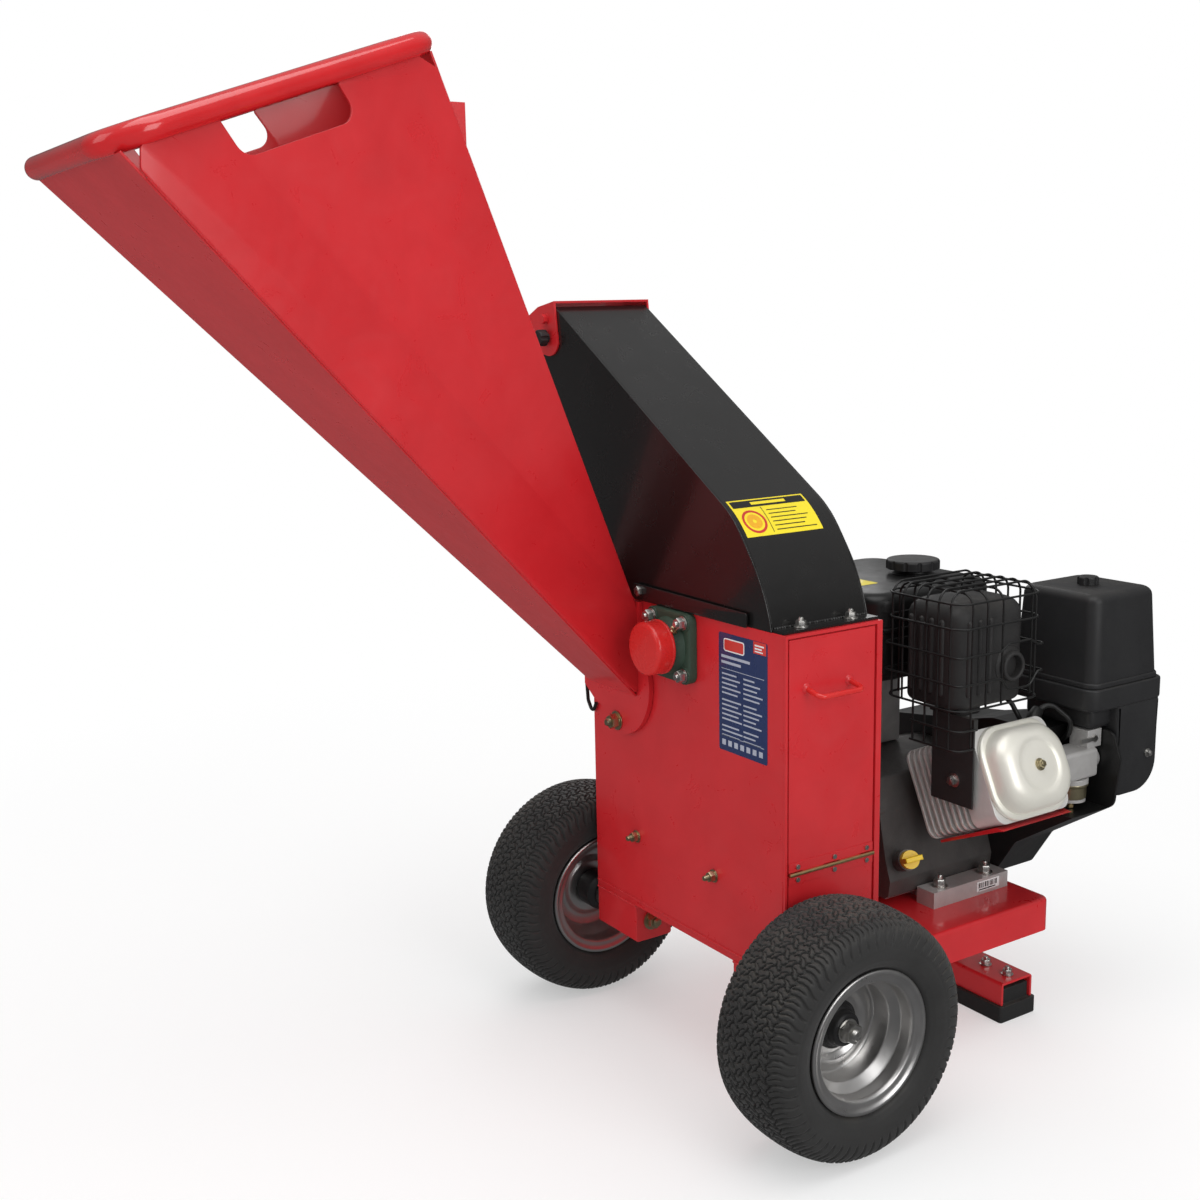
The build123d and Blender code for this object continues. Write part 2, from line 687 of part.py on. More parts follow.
def side_panel(low, high, normal):
    """Side sheet with clipped mouth corners, a hand slot and tabs up to the tube."""
    throat_low, throat_high = THROAT[low], THROAT[high]
    mouth_low, mouth_high = MOUTH[low], MOUTH[high]
    tube = rim_tube()
    sheet = sheet_from([
        throat_low,
        between(throat_low, mouth_low, 0.975),
        between(mouth_low, mouth_high, 0.05),
        between(mouth_low, mouth_high, 0.95),
        between(throat_high, mouth_high, 0.975),
        throat_high,
    ], normal, THIN)

    down = (between(throat_low, throat_high, 0.5)
            - between(mouth_low, mouth_high, 0.5)).normalized()
    slot_low = between(mouth_low, mouth_high, 0.28)
    slot_high = between(mouth_low, mouth_high, 0.66)
    slot_outline = [
        slot_low + down * -6,
        slot_high + down * -6,
        slot_high + down * 34,
        between(slot_high, slot_low, 0.12) + down * 46,
        between(slot_low, slot_high, 0.12) + down * 46,
        slot_low + down * 34,
    ]
    slot = sheet_from([point - normal for point in slot_outline], normal, THIN + 2)

    with BuildPart() as panel:
        add(sheet)
        cut(slot)
        for share in (0.13, 0.22, 0.72, 0.81):
            tab_low = between(mouth_low, mouth_high, share - 0.022)
            tab_high = between(mouth_low, mouth_high, share + 0.022)
            add(sheet_from([tab_low + down * 3, tab_high + down * 3,
                            tab_high + MOUTH_OUT * 24, tab_low + MOUTH_OUT * 24],
                           normal, THIN))
        cut(tube)
    # only the largest solid is kept, in case cutting leaves loose scraps
    return panel.solids().sort_by(SortBy.VOLUME)[-1]


@cache
def hopper_side_panels():
    return Compound(children=[side_panel(NEAR_LOW, NEAR_HIGH, NEAR_OUT),
                              side_panel(FAR_LOW, FAR_HIGH, FAR_OUT)])


@cache
def hopper_floor_back():
    """Floor and back sheets, and a wedge lip across the outside of the back."""
    sheets = []
    for near, far, normal in ((NEAR_LOW, FAR_LOW, FLOOR_OUT), (NEAR_HIGH, FAR_HIGH, BACK_OUT)):
        corners = [THROAT[near], MOUTH[near], MOUTH[far], THROAT[far]]
        with BuildPart() as sheet:
            add(sheet_from(corners, normal, THIN))
        sheets.append(sheet.part)

    lip_near_x, lip_far_x = -26.0, -222.0
    top = between(THROAT[NEAR_HIGH], MOUTH[NEAR_HIGH], 0.925) + BACK_OUT * THIN
    bottom = between(THROAT[NEAR_HIGH], MOUTH[NEAR_HIGH], 0.855) + BACK_OUT * THIN
    with BuildPart() as lip:
        with BuildSketch(Plane(origin=(lip_far_x, 0, 0), x_dir=(0, 1, 0), z_dir=(1, 0, 0))):
            with BuildLine():
                Polyline((top.Y, top.Z), (bottom.Y, top.Z), (bottom.Y, bottom.Z), close=True)
            make_face()
        extrude(amount=lip_near_x - lip_far_x)
    return Compound(children=sheets + [lip.part])


def hopper_flange():
    """Flange round the throat, turning on the pivot stud, just off the front plate."""
    side_panels, floor_back = hopper_side_panels(), hopper_floor_back()
    with BuildPart() as flange:
        with BuildSketch(plane_xz(THROAT_Y)):
            with BuildLine():
                Polyline((-226, 500), (-226, 643), (-84, 643), (-84, 600), (-70, 575), (-61, 530))
                ThreePointArc((-61, 530), (-82, 470), (-142, 443))
                ThreePointArc((-142, 443), (-160, 452), (-163, 470))
                Polyline((-163, 470), (-200, 482), (-226, 500))
            make_face()
        extrude(amount=-(BOX_FRONT - THROAT_Y - 0.5))
        cut(slab(THROAT_FAR_X + THIN, THROAT_NEAR_X - THIN, THROAT_Y - 1, BOX_FRONT + 1,
                 THROAT_Z0 + THIN, THROAT_Z1 - THIN))
        cut(rod_y(PIVOT_X, PIVOT_Z, PIVOT_R + 0.06, THROAT_Y - 5, BOX_FRONT + 5))
        cut(side_panels)
        cut(floor_back)
    return flange.part


def pivot_bolt():
    """Pivot stud on the front plate, with washer and nut outside the flange."""
    nut_y = THROAT_Y - 2.3
    with BuildPart() as stud:
        add(rod_y(PIVOT_X, PIVOT_Z, PIVOT_R, BOX_FRONT - 26, BOX_FRONT))
        add(rod_y(PIVOT_X, PIVOT_Z, 14.0, nut_y, THROAT_Y - 0.3))
        add(hex_bolt(PIVOT_X, nut_y, PIVOT_Z, (0, -1, 0), 19, 10))
    return stud.part


# ================================================================== chute
# Points are (x, z).
CHUTE_LEFT, CHUTE_RIGHT = (-211.0, 646.0), (191.0, 646.0)
CHUTE_BEND = (96, 793.7)       # end of the curved right side
CHUTE_TOP = (-297.0, 1043.0)
CHUTE_OUTLET = [(-345.0, 1030.0), (-352.0, 985.0), (-325.0, 885.0)]


def chute_side(y0, y1):
    with BuildPart() as side:
        with BuildSketch(plane_xz(y0)):
            with BuildLine():
                Spline(CHUTE_RIGHT, (153, 731), CHUTE_BEND,
                       tangents=((-0.22, 0.975), (-0.845, 0.535)))
                Polyline(CHUTE_BEND, CHUTE_TOP, *CHUTE_OUTLET, CHUTE_LEFT, CHUTE_RIGHT)
            make_face()
        extrude(amount=-(y1 - y0))
    return side.part


def chute_body():
    """Front and rear sides and the lower sheet between them."""
    start, end = Vector(*CHUTE_LEFT), Vector(*CHUTE_OUTLET[-1])
    direction = (end - start).normalized()
    inward = Vector(direction.Y, -direction.X) * THIN
    lower = [(point.X, point.Y) for point in (start, end, end + inward, start + inward)]
    return Compound(children=[
        chute_side(BOX_FRONT, BOX_FRONT + THIN),
        chute_side(BOX_BACK - THIN, BOX_BACK),
        plate_xz(lower, BOX_FRONT + THIN, BOX_BACK - THIN),
    ])


def chute_wrapper():
    """Top sheet, one rolled piece from the base flange up to the outlet."""
    inner_top = (CHUTE_TOP[0] - 1.6, CHUTE_TOP[1] - 2.55)
    inner_bend = (94.4, 791.15)
    inner_right = (CHUTE_RIGHT[0] - THIN, CHUTE_RIGHT[1])
    with BuildPart() as wrapper:
        with BuildSketch(plane_xz(BOX_FRONT + THIN)):
            with BuildLine():
                Spline(CHUTE_RIGHT, (153, 731), CHUTE_BEND,
                       tangents=((-0.22, 0.975), (-0.845, 0.535)))
                Polyline(CHUTE_BEND, CHUTE_TOP, inner_top, inner_bend)
                Spline(inner_bend, (150.4, 729.4), inner_right,
                       tangents=((0.845, -0.535), (0.22, -0.975)))
                Line(inner_right, CHUTE_RIGHT)
            make_face()
        extrude(amount=-(BOX_BACK - BOX_FRONT - 2 * THIN))
        add(slab(CHUTE_RIGHT[0], 213, BOX_FRONT + 2, BOX_BACK - 2, BOX_TOP, BOX_TOP + 4))
    return wrapper.part


# outer faces of the hood's cheeks
HOOD_GAP = 0.4
HOOD_FRONT, HOOD_BACK = BOX_FRONT - HOOD_GAP - THIN, BOX_BACK + HOOD_GAP + THIN
HOOD_TOP_SHEET = [
    (-293, 1048), (-293, 1051.2), (-338.6, 1043.2), (-401.3, 1014.8),
    (-416, 990), (-413.3, 988.6), (-400, 1012), (-338, 1040),
]


def deflector_hood():
    """Hood on the outlet: two cheeks, a folded top sheet and two bolts."""
    with BuildPart() as hood:
        for y in (HOOD_FRONT, HOOD_BACK - THIN):
            with BuildSketch(plane_xz(y)):
                with BuildLine():
                    Line((-293, 1048), (-285, 990))
                    ThreePointArc((-285, 990), (-300, 975), (-319, 974))
                    Polyline((-319, 974), (-392, 985), (-400, 1012), (-338, 1040), (-293, 1048))
                make_face()
            extrude(amount=-THIN)
        add(plate_xz(HOOD_TOP_SHEET, HOOD_FRONT, HOOD_BACK))
    bolts = [hex_bolt(-316.0, y, 1026.0, (0, side, 0), 12, 6, washer=8)
             for y, side in ((HOOD_FRONT, -1), (HOOD_BACK, 1))]
    return Compound(children=[hood.part] + bolts)


def deflector_knob(side):
    """Fluted knob on a short neck, on the front (-1) or rear (1) cheek."""
    x, z = -313, 999
    cheek_y = HOOD_FRONT if side < 0 else HOOD_BACK
    neck_y = cheek_y + side * 0.1
    head_y = neck_y + side * 5
    with BuildPart() as knob:
        add(rod(Plane(origin=(x, neck_y, z), z_dir=(0, side, 0)), 7, 5))
        add(rod(Plane(origin=(x, head_y, z), z_dir=(0, side, 0)), 12, 13))
        outer_group = 0 if side < 0 else -1
        ease(knob.edges().filter_by(GeomType.CIRCLE).group_by(Axis.Y)[outer_group], 3)
        y0, y1 = sorted((cheek_y + side * 5.2, cheek_y + side * 30))
        for angle in range(0, 360, 60):
            cut(rod_y(*polar(x, z, 14, angle), 4, y0, y1))
    return knob.part


# ================================================================= engine
CYL_Y = 380.0          # cylinder centre along the crankshaft
TILT = math.radians(25.0)      # cylinder axis above horizontal
CYL_X_DIR, CYL_Z_DIR = math.cos(TILT), math.sin(TILT)
ENGINE_BOLTS = [(134, 332), (134, 424), (-62, 332), (-62, 424)]   # (x, y)
MOUNT_TOP = 214

DIPSTICK_FOOT = (96, 284, 250)
DIPSTICK_DIR = (CYL_X_DIR, -0.35, CYL_Z_DIR)
DIPSTICK_PLANE = Plane(origin=DIPSTICK_FOOT, x_dir=(0, 1, 0), z_dir=DIPSTICK_DIR)

# outlines in (x, z)
CRANKCASE_OUTLINE = [
    (-42, 204), (112, 204), (116, 232), (106, 262), (92, 330), (70, 372),
    (-30, 384), (-72, 372), (-88, 330), (-84, 268), (-42, 240),
]
BLOWER_OUTLINE = [
    (-120, 198), (120, 198), (160, 260), (268, 330), (276, 400), (262, 438),
    (110, 438), (60, 425), (-110, 400), (-140, 330), (-140, 250),
]


def cylinder_point(distance, up=0.0):
    """(x, z) at a distance up the cylinder axis, offset square to it."""
    return (CRANK_X + distance * CYL_X_DIR - up * CYL_Z_DIR,
            CRANK_Z + distance * CYL_Z_DIR + up * CYL_X_DIR)


def cylinder_plane(distance):
    """Plane square to the cylinder axis, local x along +Y."""
    x, z = cylinder_point(distance)
    return Plane(origin=(x, CYL_Y, z), x_dir=(0, 1, 0), z_dir=(CYL_X_DIR, 0, CYL_Z_DIR))


@cache
def crankcase():
    """Crankcase with its mounting rails and drive-side cover."""
    with BuildPart() as case:
        add(plate_xz(CRANKCASE_OUTLINE, 252, 458))
        ease(case.edges().filter_by(Axis.Y), 8)
        for x0, x1 in ((116, 150), (-82, -46)):
            add(slab(x0, x1, 305, 456, FRAME_TOP, MOUNT_TOP))
        add(slab(-46, 117, 322, 440, FRAME_TOP, 206))
        add(rod_y(CRANK_X, CRANK_Z, 78, 244, 253))
        add(rod_y(CRANK_X, CRANK_Z, 36, 236, 245))
        # bosses round the cover, on an ellipse
        for degrees in range(25, 385, 60):
            angle = math.radians(degrees)
            add(rod_y(CRANK_X + 84 * math.cos(angle), CRANK_Z + 66 * math.sin(angle),
                      9, 244, 262))
        cut(rod_y(CRANK_X, CRANK_Z, SHAFT_R + 1.5, 230, 262))
        add(rod(DIPSTICK_PLANE, 15, 44))
        for x, y in ENGINE_BOLTS:
            cut(rod_z(x, y, 5.5, 180, 230))
    return case.part


def dipstick():
    """Round cap with a flat grip, just off the end of its tube."""
    cap_start, cap_height = 44.3, 9
    with BuildPart() as stick:
        with BuildSketch(DIPSTICK_PLANE.offset(cap_start)):
            Circle(13)
        extrude(amount=cap_height)
        with BuildSketch(DIPSTICK_PLANE.offset(cap_start + cap_height)):
            Rectangle(26, 7)
        extrude(amount=14)
        ease(stick.faces().sort_by(Axis(DIPSTICK_FOOT, DIPSTICK_DIR))[-1].edges(), 1.5)
    return stick.part


@cache
def cylinder_block():
    """Finned cylinder and its head."""
    fin_count, fin_pitch, fin_thick = 8, 11.5, 4.5
    case = crankcase()
    with BuildPart() as block:
        with BuildSketch(cylinder_plane(98)):
            RectangleRounded(104, 96, 20)
        extrude(amount=106)
        for i in range(fin_count):
            with BuildSketch(cylinder_plane(112 + i * fin_pitch)):
                RectangleRounded(144, 130, 16)
            extrude(amount=fin_thick)
        with BuildSketch(cylinder_plane(204)):
            RectangleRounded(146, 132, 18)
        extrude(amount=46)
        cut(case)
    return block.part


def valve_cover():
    """Domed cover with a round recess and a hex head in its middle."""
    base, step, top, recess = 250, 257, 287, 4
    with BuildPart() as cover:
        with BuildSketch(cylinder_plane(base)):
            RectangleRounded(146, 132, 42)
        extrude(amount=step - base)
        with BuildSketch(cylinder_plane(step)):
            RectangleRounded(132, 118, 38)
        extrude(amount=top - step)
        top_plane = cylinder_plane(top)
        ease(cover.edges().filter_by(
            lambda e: abs(top_plane.to_local_coords(e.center()).Z) < 0.5), 13)
        with BuildSketch(top_plane):
            Circle(26)
        extrude(amount=-recess, mode=Mode.SUBTRACT)
        with BuildSketch(cylinder_plane(top - recess)):
            RegularPolygon(7, 6)
        extrude(amount=6)
    return cover.part


def lower_shroud():
    """Thin plate under the cylinder, (distance, up) along its axis."""
    profile = [(128, -67), (240, -67), (252, -74), (240, -73), (128, -71)]
    return plate_xz([cylinder_point(distance, up) for distance, up in profile], 312, 448)


@cache
def muffler():
    """Boxed shell with upright ribs and a side outlet."""
    x0, x1, y0, y1, z0, z1 = 98.0, 205.0, 282.0, 418.0, 494.0, 640.0
    rib_z, rib_height = z0 + 18, z1 - z0 - 44
    outlet_y, outlet_z = 381, 547
    cylinder = cylinder_block()
    with BuildPart() as shell:
        add(slab(x0, x1, y0, y1, z0, z1))
        ease(shell.edges().filter_by(Axis.Z), 20)
        ease(shell.faces().sort_by(Axis.Z)[-1].edges(), 16)
        ease(shell.faces().sort_by(Axis.Z)[0].edges(), 8)
        for x in (122, 140, 158, 176):
            add(rod_z(x, y0, 4.5, rib_z, rib_z + rib_height))
        for y in (308, 330, 352):
            add(rod_z(x1, y, 4.0, rib_z, rib_z + rib_height))
        add(rod_x(outlet_y, outlet_z, 21, x1 - 10, x1 + 12))
        cut(rod_x(outlet_y, outlet_z, 15.5, x1 - 9, x1 + 13))
        add(slab(120, 165, 330, 375, 478, z0 + 6))
        cut(cylinder)
    return shell.part


def muffler_guard():
    """Wire cage round the muffler.

    The ring level with the outlet steps down past it, and the two lowest wires
    only cover the front right corner.
    """
    wire = 3
    half = wire / 2
    x0, x1, y0, y1 = 80.0, 226.0, 263.0, 431.0
    low_z, ring_z, top_z = 446, 500, 663
    with BuildPart() as guard:
        for z in (ring_z, 537, 575, 612, 646):
            with BuildSketch(Plane.XY.offset(z)):
                with Locations(((x0 + x1) / 2, (y0 + y1) / 2)):
                    RectangleRounded(x1 - x0, y1 - y0, 22)
                    RectangleRounded(x1 - x0 - 2 * wire, y1 - y0 - 2 * wire, 19,
                                     mode=Mode.SUBTRACT)
            extrude(amount=wire)
        # step round the outlet
        cut(slab(x1 - 4, x1 + 1, 348, 408, 536, 541))
        add(slab(x1 - wire, x1, 345, 411, 517, 520))
        for y in (345, 408):
            add(slab(x1 - wire, x1, y, y + wire, 517, 540))
        # hoops over the front and back
        for x in (96, 116, 138, 160, 182, 204):
            bottom = low_z if x > 130 else ring_z
            add(slab(x - half, x + half, y0, y0 + wire, bottom, top_z))
            add(slab(x - half, x + half, y1 - wire, y1, ring_z, top_z))
            add(slab(x - half, x + half, y0, y1, top_z - wire, top_z))
        # hoops over the two sides
        for y in (290, 318, 352, 412):
            bottom = low_z if y < 300 else ring_z
            add(slab(x1 - wire, x1, y - half, y + half, bottom, top_z))
            add(slab(x0, x0 + wire, y - half, y + half, ring_z, top_z))
            add(slab(x0, x1, y - half, y + half, top_z - wire, top_z))
        for z in (low_z, 473):
            add(slab(136, x1, y0, y0 + wire, z, z + wire))
            add(slab(x1 - wire, x1, y0, 292, z, z + wire))
    return guard.part


def heat_shield():
    """Folded shield beside the cylinder fins, below the muffler."""
    cylinder, shell = cylinder_block(), muffler()
    with BuildPart() as shield:
        add(slab(146, 222, 298, 301, 360, 486))
        add(slab(146, 222, 301, 306, 470, 486))
        add(slab(140, 160, 298, 330, 484, 487))
        cut(cylinder)
        cut(shell)
    return shield.part


CAP_X, CAP_Y = -30, 430    # fuel filler


def fuel_tank():
    """Tank with a seam band, filler neck and a block under it."""
    x0, x1, y0, y1 = -186, 74, 256, 500
    with BuildPart() as tank:
        add(slab(x0, x1, y0, y1, 508, 638))
        ease(tank.edges().filter_by(Axis.Z), 34)
        ease(tank.faces().sort_by(Axis.Z)[-1].edges(), 14)
        ease(tank.faces().sort_by(Axis.Z)[0].edges(), 20)
        with BuildSketch(Plane.XY.offset(582)):
            with Locations(((x0 + x1) / 2, (y0 + y1) / 2)):
                RectangleRounded(x1 - x0 + 6, y1 - y0 + 6, 37)
                RectangleRounded(x1 - x0 - 20, y1 - y0 - 20, 26, mode=Mode.SUBTRACT)
        extrude(amount=8)
        add(rod_z(CAP_X, CAP_Y, 28, 620, 644))
        add(slab(-80, -20, 330, 400, 384.5, 512))
    return tank.part


def fuel_cap():
    with BuildPart() as cap:
        add(rod_z(CAP_X, CAP_Y, 40, 646, 660))
        ease(cap.faces().sort_by(Axis.Z)[-1].edges(), 4)
        for angle in range(0, 360, 30):
            cut(rod_z(*polar(CAP_X, CAP_Y, 42, angle), 4, 640, 670))
        add(rod_z(CAP_X, CAP_Y, 30, 644.3, 646))
    return cap.part


# air cleaner
FILTER_X0, FILTER_X1, FILTER_Y0, FILTER_Y1 = 108.0, 258.0, 494.0, 640.0
FILTER_X, FILTER_Y = (FILTER_X0 + FILTER_X1) / 2, (FILTER_Y0 + FILTER_Y1) / 2
FILTER_BASE_TOP = 503


def air_filter_base():
    """Tray with a block and a deeper shell below it."""
    with BuildPart() as base:
        add(slab(FILTER_X0 - 5, FILTER_X1 + 5, FILTER_Y0 - 6, FILTER_Y1 + 8,
                 470, FILTER_BASE_TOP))
        ease(base.edges().filter_by(Axis.Z), 18)
        add(slab(FILTER_X0 + 20, FILTER_X1 - 10, 505, 560, 440, 470))
        with BuildPart(mode=Mode.PRIVATE) as lower_shell:
            add(slab(190, 262, 546, 636, 338, 474))
            ease(lower_shell.edges().filter_by(Axis.X).group_by(Axis.Z)[0].sort_by(Axis.Y)[-1],
                 34)
            ease(lower_shell.edges().filter_by(Axis.Z), 8)
        add(lower_shell.part)
    return base.part


def air_filter_cover():
    with BuildPart() as cover:
        with BuildSketch(Plane.XY.offset(FILTER_BASE_TOP)):
            with Locations((FILTER_X, FILTER_Y)):
                RectangleRounded(FILTER_X1 - FILTER_X0, FILTER_Y1 - FILTER_Y0, 16)
        extrude(amount=132, taper=3)
        ease(cover.faces().sort_by(Axis.Z)[-1].edges(), 11)
    return cover.part


def air_filter_knob():
    """Round fluted knob on top of the cover."""
    with BuildPart() as knob:
        add(rod_z(FILTER_X, FILTER_Y, 15, 635.3, 647))
        ease(knob.faces().sort_by(Axis.Z)[-1].edges(), 3)
        for angle in range(0, 360, 60):
            cut(rod_z(*polar(FILTER_X, FILTER_Y, 18, angle), 5, 630, 650))
    return knob.part


def carburetor():
    """Body behind the head, bowl below."""
    bowl_x, bowl_y = 228, 492
    with BuildPart() as body:
        add(slab(206, 250, 454, 520, 372, 414))
        ease(body.edges().filter_by(Axis.Y), 6)
        add(rod_z(bowl_x, bowl_y, 24, 362, 372))
        add(rod_z(bowl_x, bowl_y, 21, 338, 362))
        add(rod_z(bowl_x, bowl_y, 6, 332, 338))
        add(rod_y(bowl_x, 394, 15, 520, 534))
        add(slab(212, 244, 505, 534, 414, 440))
    return body.part


def blower_housing():
    """Fan housing behind the crankcase, notched round the carburettor."""
    cylinder = cylinder_block()
    with BuildPart() as housing:
        add(plate_xz(BLOWER_OUTLINE, 458.5, 540.5))
        ease(housing.edges().filter_by(Axis.Y), 18)
        cut(slab(196, 280, 450, 536, 325, 445))
        cut(cylinder)
    return housing.part


def recoil_cover():
    """Starter cover with a ring of slots and a guide for the pull handle."""
    with BuildPart() as cover:
        add(rod_y(CRANK_X, CRANK_Z, 98, 540.5, 588))
        ease(cover.faces().sort_by(Axis.Y)[-1].edges(), 9)
        for angle in range(0, 360, 30):
            with BuildSketch(plane_y(CRANK_X, 570, CRANK_Z)):
                with Locations(polar(0, 0, 62, angle)):
                    SlotOverall(30, 8, rotation=angle)
            extrude(amount=30, mode=Mode.SUBTRACT)
        add(slab(-128, -84, 545, 580, 318, 342))
        cut(slab(-132, -100, 550, 575, 325, 335))
    return cover.part


def recoil_handle():
    with BuildPart() as handle:
        add(slab(-142, -129, 546, 592, 320, 340))
        ease(handle.edges(), 5)
        add(slab(-129.5, -122, 558, 567, 327, 333))
    return handle.part


def throttle_lever():
    with BuildPart() as lever:
        add(slab(-8, 0, 540.6, 544, 408, 452))
        add(rod_y(-4, 408, 7, 540.6, 544))
    return lever.part


def choke_lever():
    with BuildPart() as lever:
        add(slab(244.1, 246.5, 488, 519, 424, 430))
        add(rod_x(519, 427, 5, 244.1, 246.5))
    return lever.part


# ============================================================== fasteners
def hex_bolts():
    up, front, back = (0, 0, 1), (0, -1, 0), (0, 1, 0)
    bolts = [hex_bolt(x, y, MOUNT_TOP, up, 16, 9, washer=12, tail=6) for x, y in ENGINE_BOLTS]
    for side in (-1, 1):
        # foot channel, then both ends of the stub axle
        for x in (125, 167):
            bolts.append(hex_bolt(side * x, 443, 60, up, 13, 6, washer=9, tail=4))
        bolts.append(hex_bolt(side * AXLE_OUT, 0, AXLE_Z, (side, 0, 0), 24, 13,
                              washer=16, tail=5))
        bolts.append(hex_bolt(side * AXLE_IN, 0, AXLE_Z, (-side, 0, 0), 19, 9,
                              washer=15, tail=5))
    # flange bearings
    for side_x in (-1, 1):
        for side_z in (-1, 1):
            x, z = ROTOR_X + side_x * FLANGE_BOLT, ROTOR_Z + side_z * FLANGE_BOLT
            bolts.append(hex_bolt(x, BOX_FRONT - FLANGE_THICK, z, front, 15, 8,
                                  washer=10, tail=4))
            bolts.append(hex_bolt(x, BOX_BACK + FLANGE_THICK, z, back, 15, 8, washer=10))
    # chute base flange
    for y in (10, 92):
        bolts.append(hex_bolt(202, y, BOX_TOP + 4, up, 12, 6, washer=9, tail=4))
    # front plate
    for x, z in ((-108, 296), (73, 294)):
        bolts.append(hex_bolt(x, BOX_FRONT, z, front, 13, 7, washer=9, tail=9))
    # heat shield
    bolts.append(hex_bolt(189, 298, 394, front, 12, 6, washer=10))
    bolts.append(pivot_bolt())
    return Compound(children=bolts)


# ================================================================== export
# Each piece is named after the function that builds it.
SINGLE_PIECES = (
    front_plate, rear_plate, wrap_sheet, door_frame, scroll_liner, bed_knife,
    rotor_shaft, rotor_disc, rotor_knives, fan_paddles,
    driven_pulley, drive_pulley, v_belts, belt_guard, bearing_housings, bearing_cap,
    engine_frame, frame_brackets, foot_channel, foot_pads, axle_stubs,
    access_door, door_handle, hinge_fixed_leaf, hinge_moving_leaf,
    hopper_side_panels, hopper_floor_back, hopper_flange, rim_tube,
    chute_body, chute_wrapper, deflector_hood,
    crankcase, dipstick, cylinder_block, valve_cover, lower_shroud,
    muffler, muffler_guard, heat_shield, fuel_tank, fuel_cap,
    air_filter_base, air_filter_cover, air_filter_knob, carburetor,
    blower_housing, recoil_cover, recoil_handle, throttle_lever, choke_lever,
    hex_bolts,
)
pieces = {build.__name__: build() for build in SINGLE_PIECES}
for build in (tyre, rim, hub):
    pieces[f"{build.__name__}_right"] = build(1)
    pieces[f"{build.__name__}_left"] = build(-1)
pieces["deflector_knob_front"] = deflector_knob(-1)
pieces["deflector_knob_rear"] = deflector_knob(1)

for name, piece in pieces.items():
    placed = piece.moved(Location(SHIFT))
    placed.label = name
    export_step(placed, f"parts/{name}.step")
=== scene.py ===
"""Petrol garden chipper on two wheels, dressed over its CAD pieces.

The wheels turn about X with the axle at y = 0, and +Z is up. The rotor housing spans the
axle with its front plate facing -Y. The hopper opens upwards and forwards (-Y) on the -X
side, the chute throws towards -X, and the engine stands behind the housing (+Y).
"""
import bpy, bmesh, math, json
import numpy as np
from mathutils import Vector, Matrix
from mathutils.bvhtree import BVHTree

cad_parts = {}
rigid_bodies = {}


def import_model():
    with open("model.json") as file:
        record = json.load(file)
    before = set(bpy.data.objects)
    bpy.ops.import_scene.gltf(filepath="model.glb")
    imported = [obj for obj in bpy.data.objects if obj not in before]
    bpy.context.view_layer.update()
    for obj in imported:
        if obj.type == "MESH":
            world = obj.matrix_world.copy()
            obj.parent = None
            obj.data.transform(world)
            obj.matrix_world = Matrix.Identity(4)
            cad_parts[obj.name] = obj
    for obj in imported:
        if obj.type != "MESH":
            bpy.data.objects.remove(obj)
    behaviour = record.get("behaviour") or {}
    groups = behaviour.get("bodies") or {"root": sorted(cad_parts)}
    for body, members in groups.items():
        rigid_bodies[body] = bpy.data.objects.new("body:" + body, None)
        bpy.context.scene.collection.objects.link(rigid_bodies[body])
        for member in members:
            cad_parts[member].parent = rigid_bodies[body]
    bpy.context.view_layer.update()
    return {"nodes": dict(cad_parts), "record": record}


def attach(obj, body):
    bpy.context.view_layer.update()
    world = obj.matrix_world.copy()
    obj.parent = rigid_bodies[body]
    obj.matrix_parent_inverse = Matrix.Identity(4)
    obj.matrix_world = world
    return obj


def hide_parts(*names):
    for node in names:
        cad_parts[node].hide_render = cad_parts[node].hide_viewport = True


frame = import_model()

# Custom pieces are drawn in mm about the axle datum and scaled to metres. The scene origin
# is the middle of the bounding box on the ground, so they are then moved by OFFSET.
MM = 0.001
OFFSET = Vector((0.030595, 0.064055, 0.0))
X, Y, Z = Vector((1, 0, 0)), Vector((0, 1, 0)), Vector((0, 0, 1))
NODES = frame["nodes"]
BODY_OF = {node: body for body, nodes in frame["record"]["behaviour"]["bodies"].items()
           for node in nodes}
SCENE = bpy.context.scene
OBJECTS = SCENE.collection.objects

# ------------------------------------------------------------------ materials


def add_node(tree, kind, inputs=(), **settings):
    """New node. inputs maps a socket name or number to a value or to a socket to link."""
    node = tree.nodes.new(kind)
    for key, value in settings.items():
        setattr(node, key, value)
    set_inputs(tree, node, inputs)
    return node


def set_inputs(tree, node, inputs):
    for key, value in dict(inputs).items():
        if isinstance(value, bpy.types.NodeSocket):
            tree.links.new(value, node.inputs[key])
        else:
            node.inputs[key].default_value = value


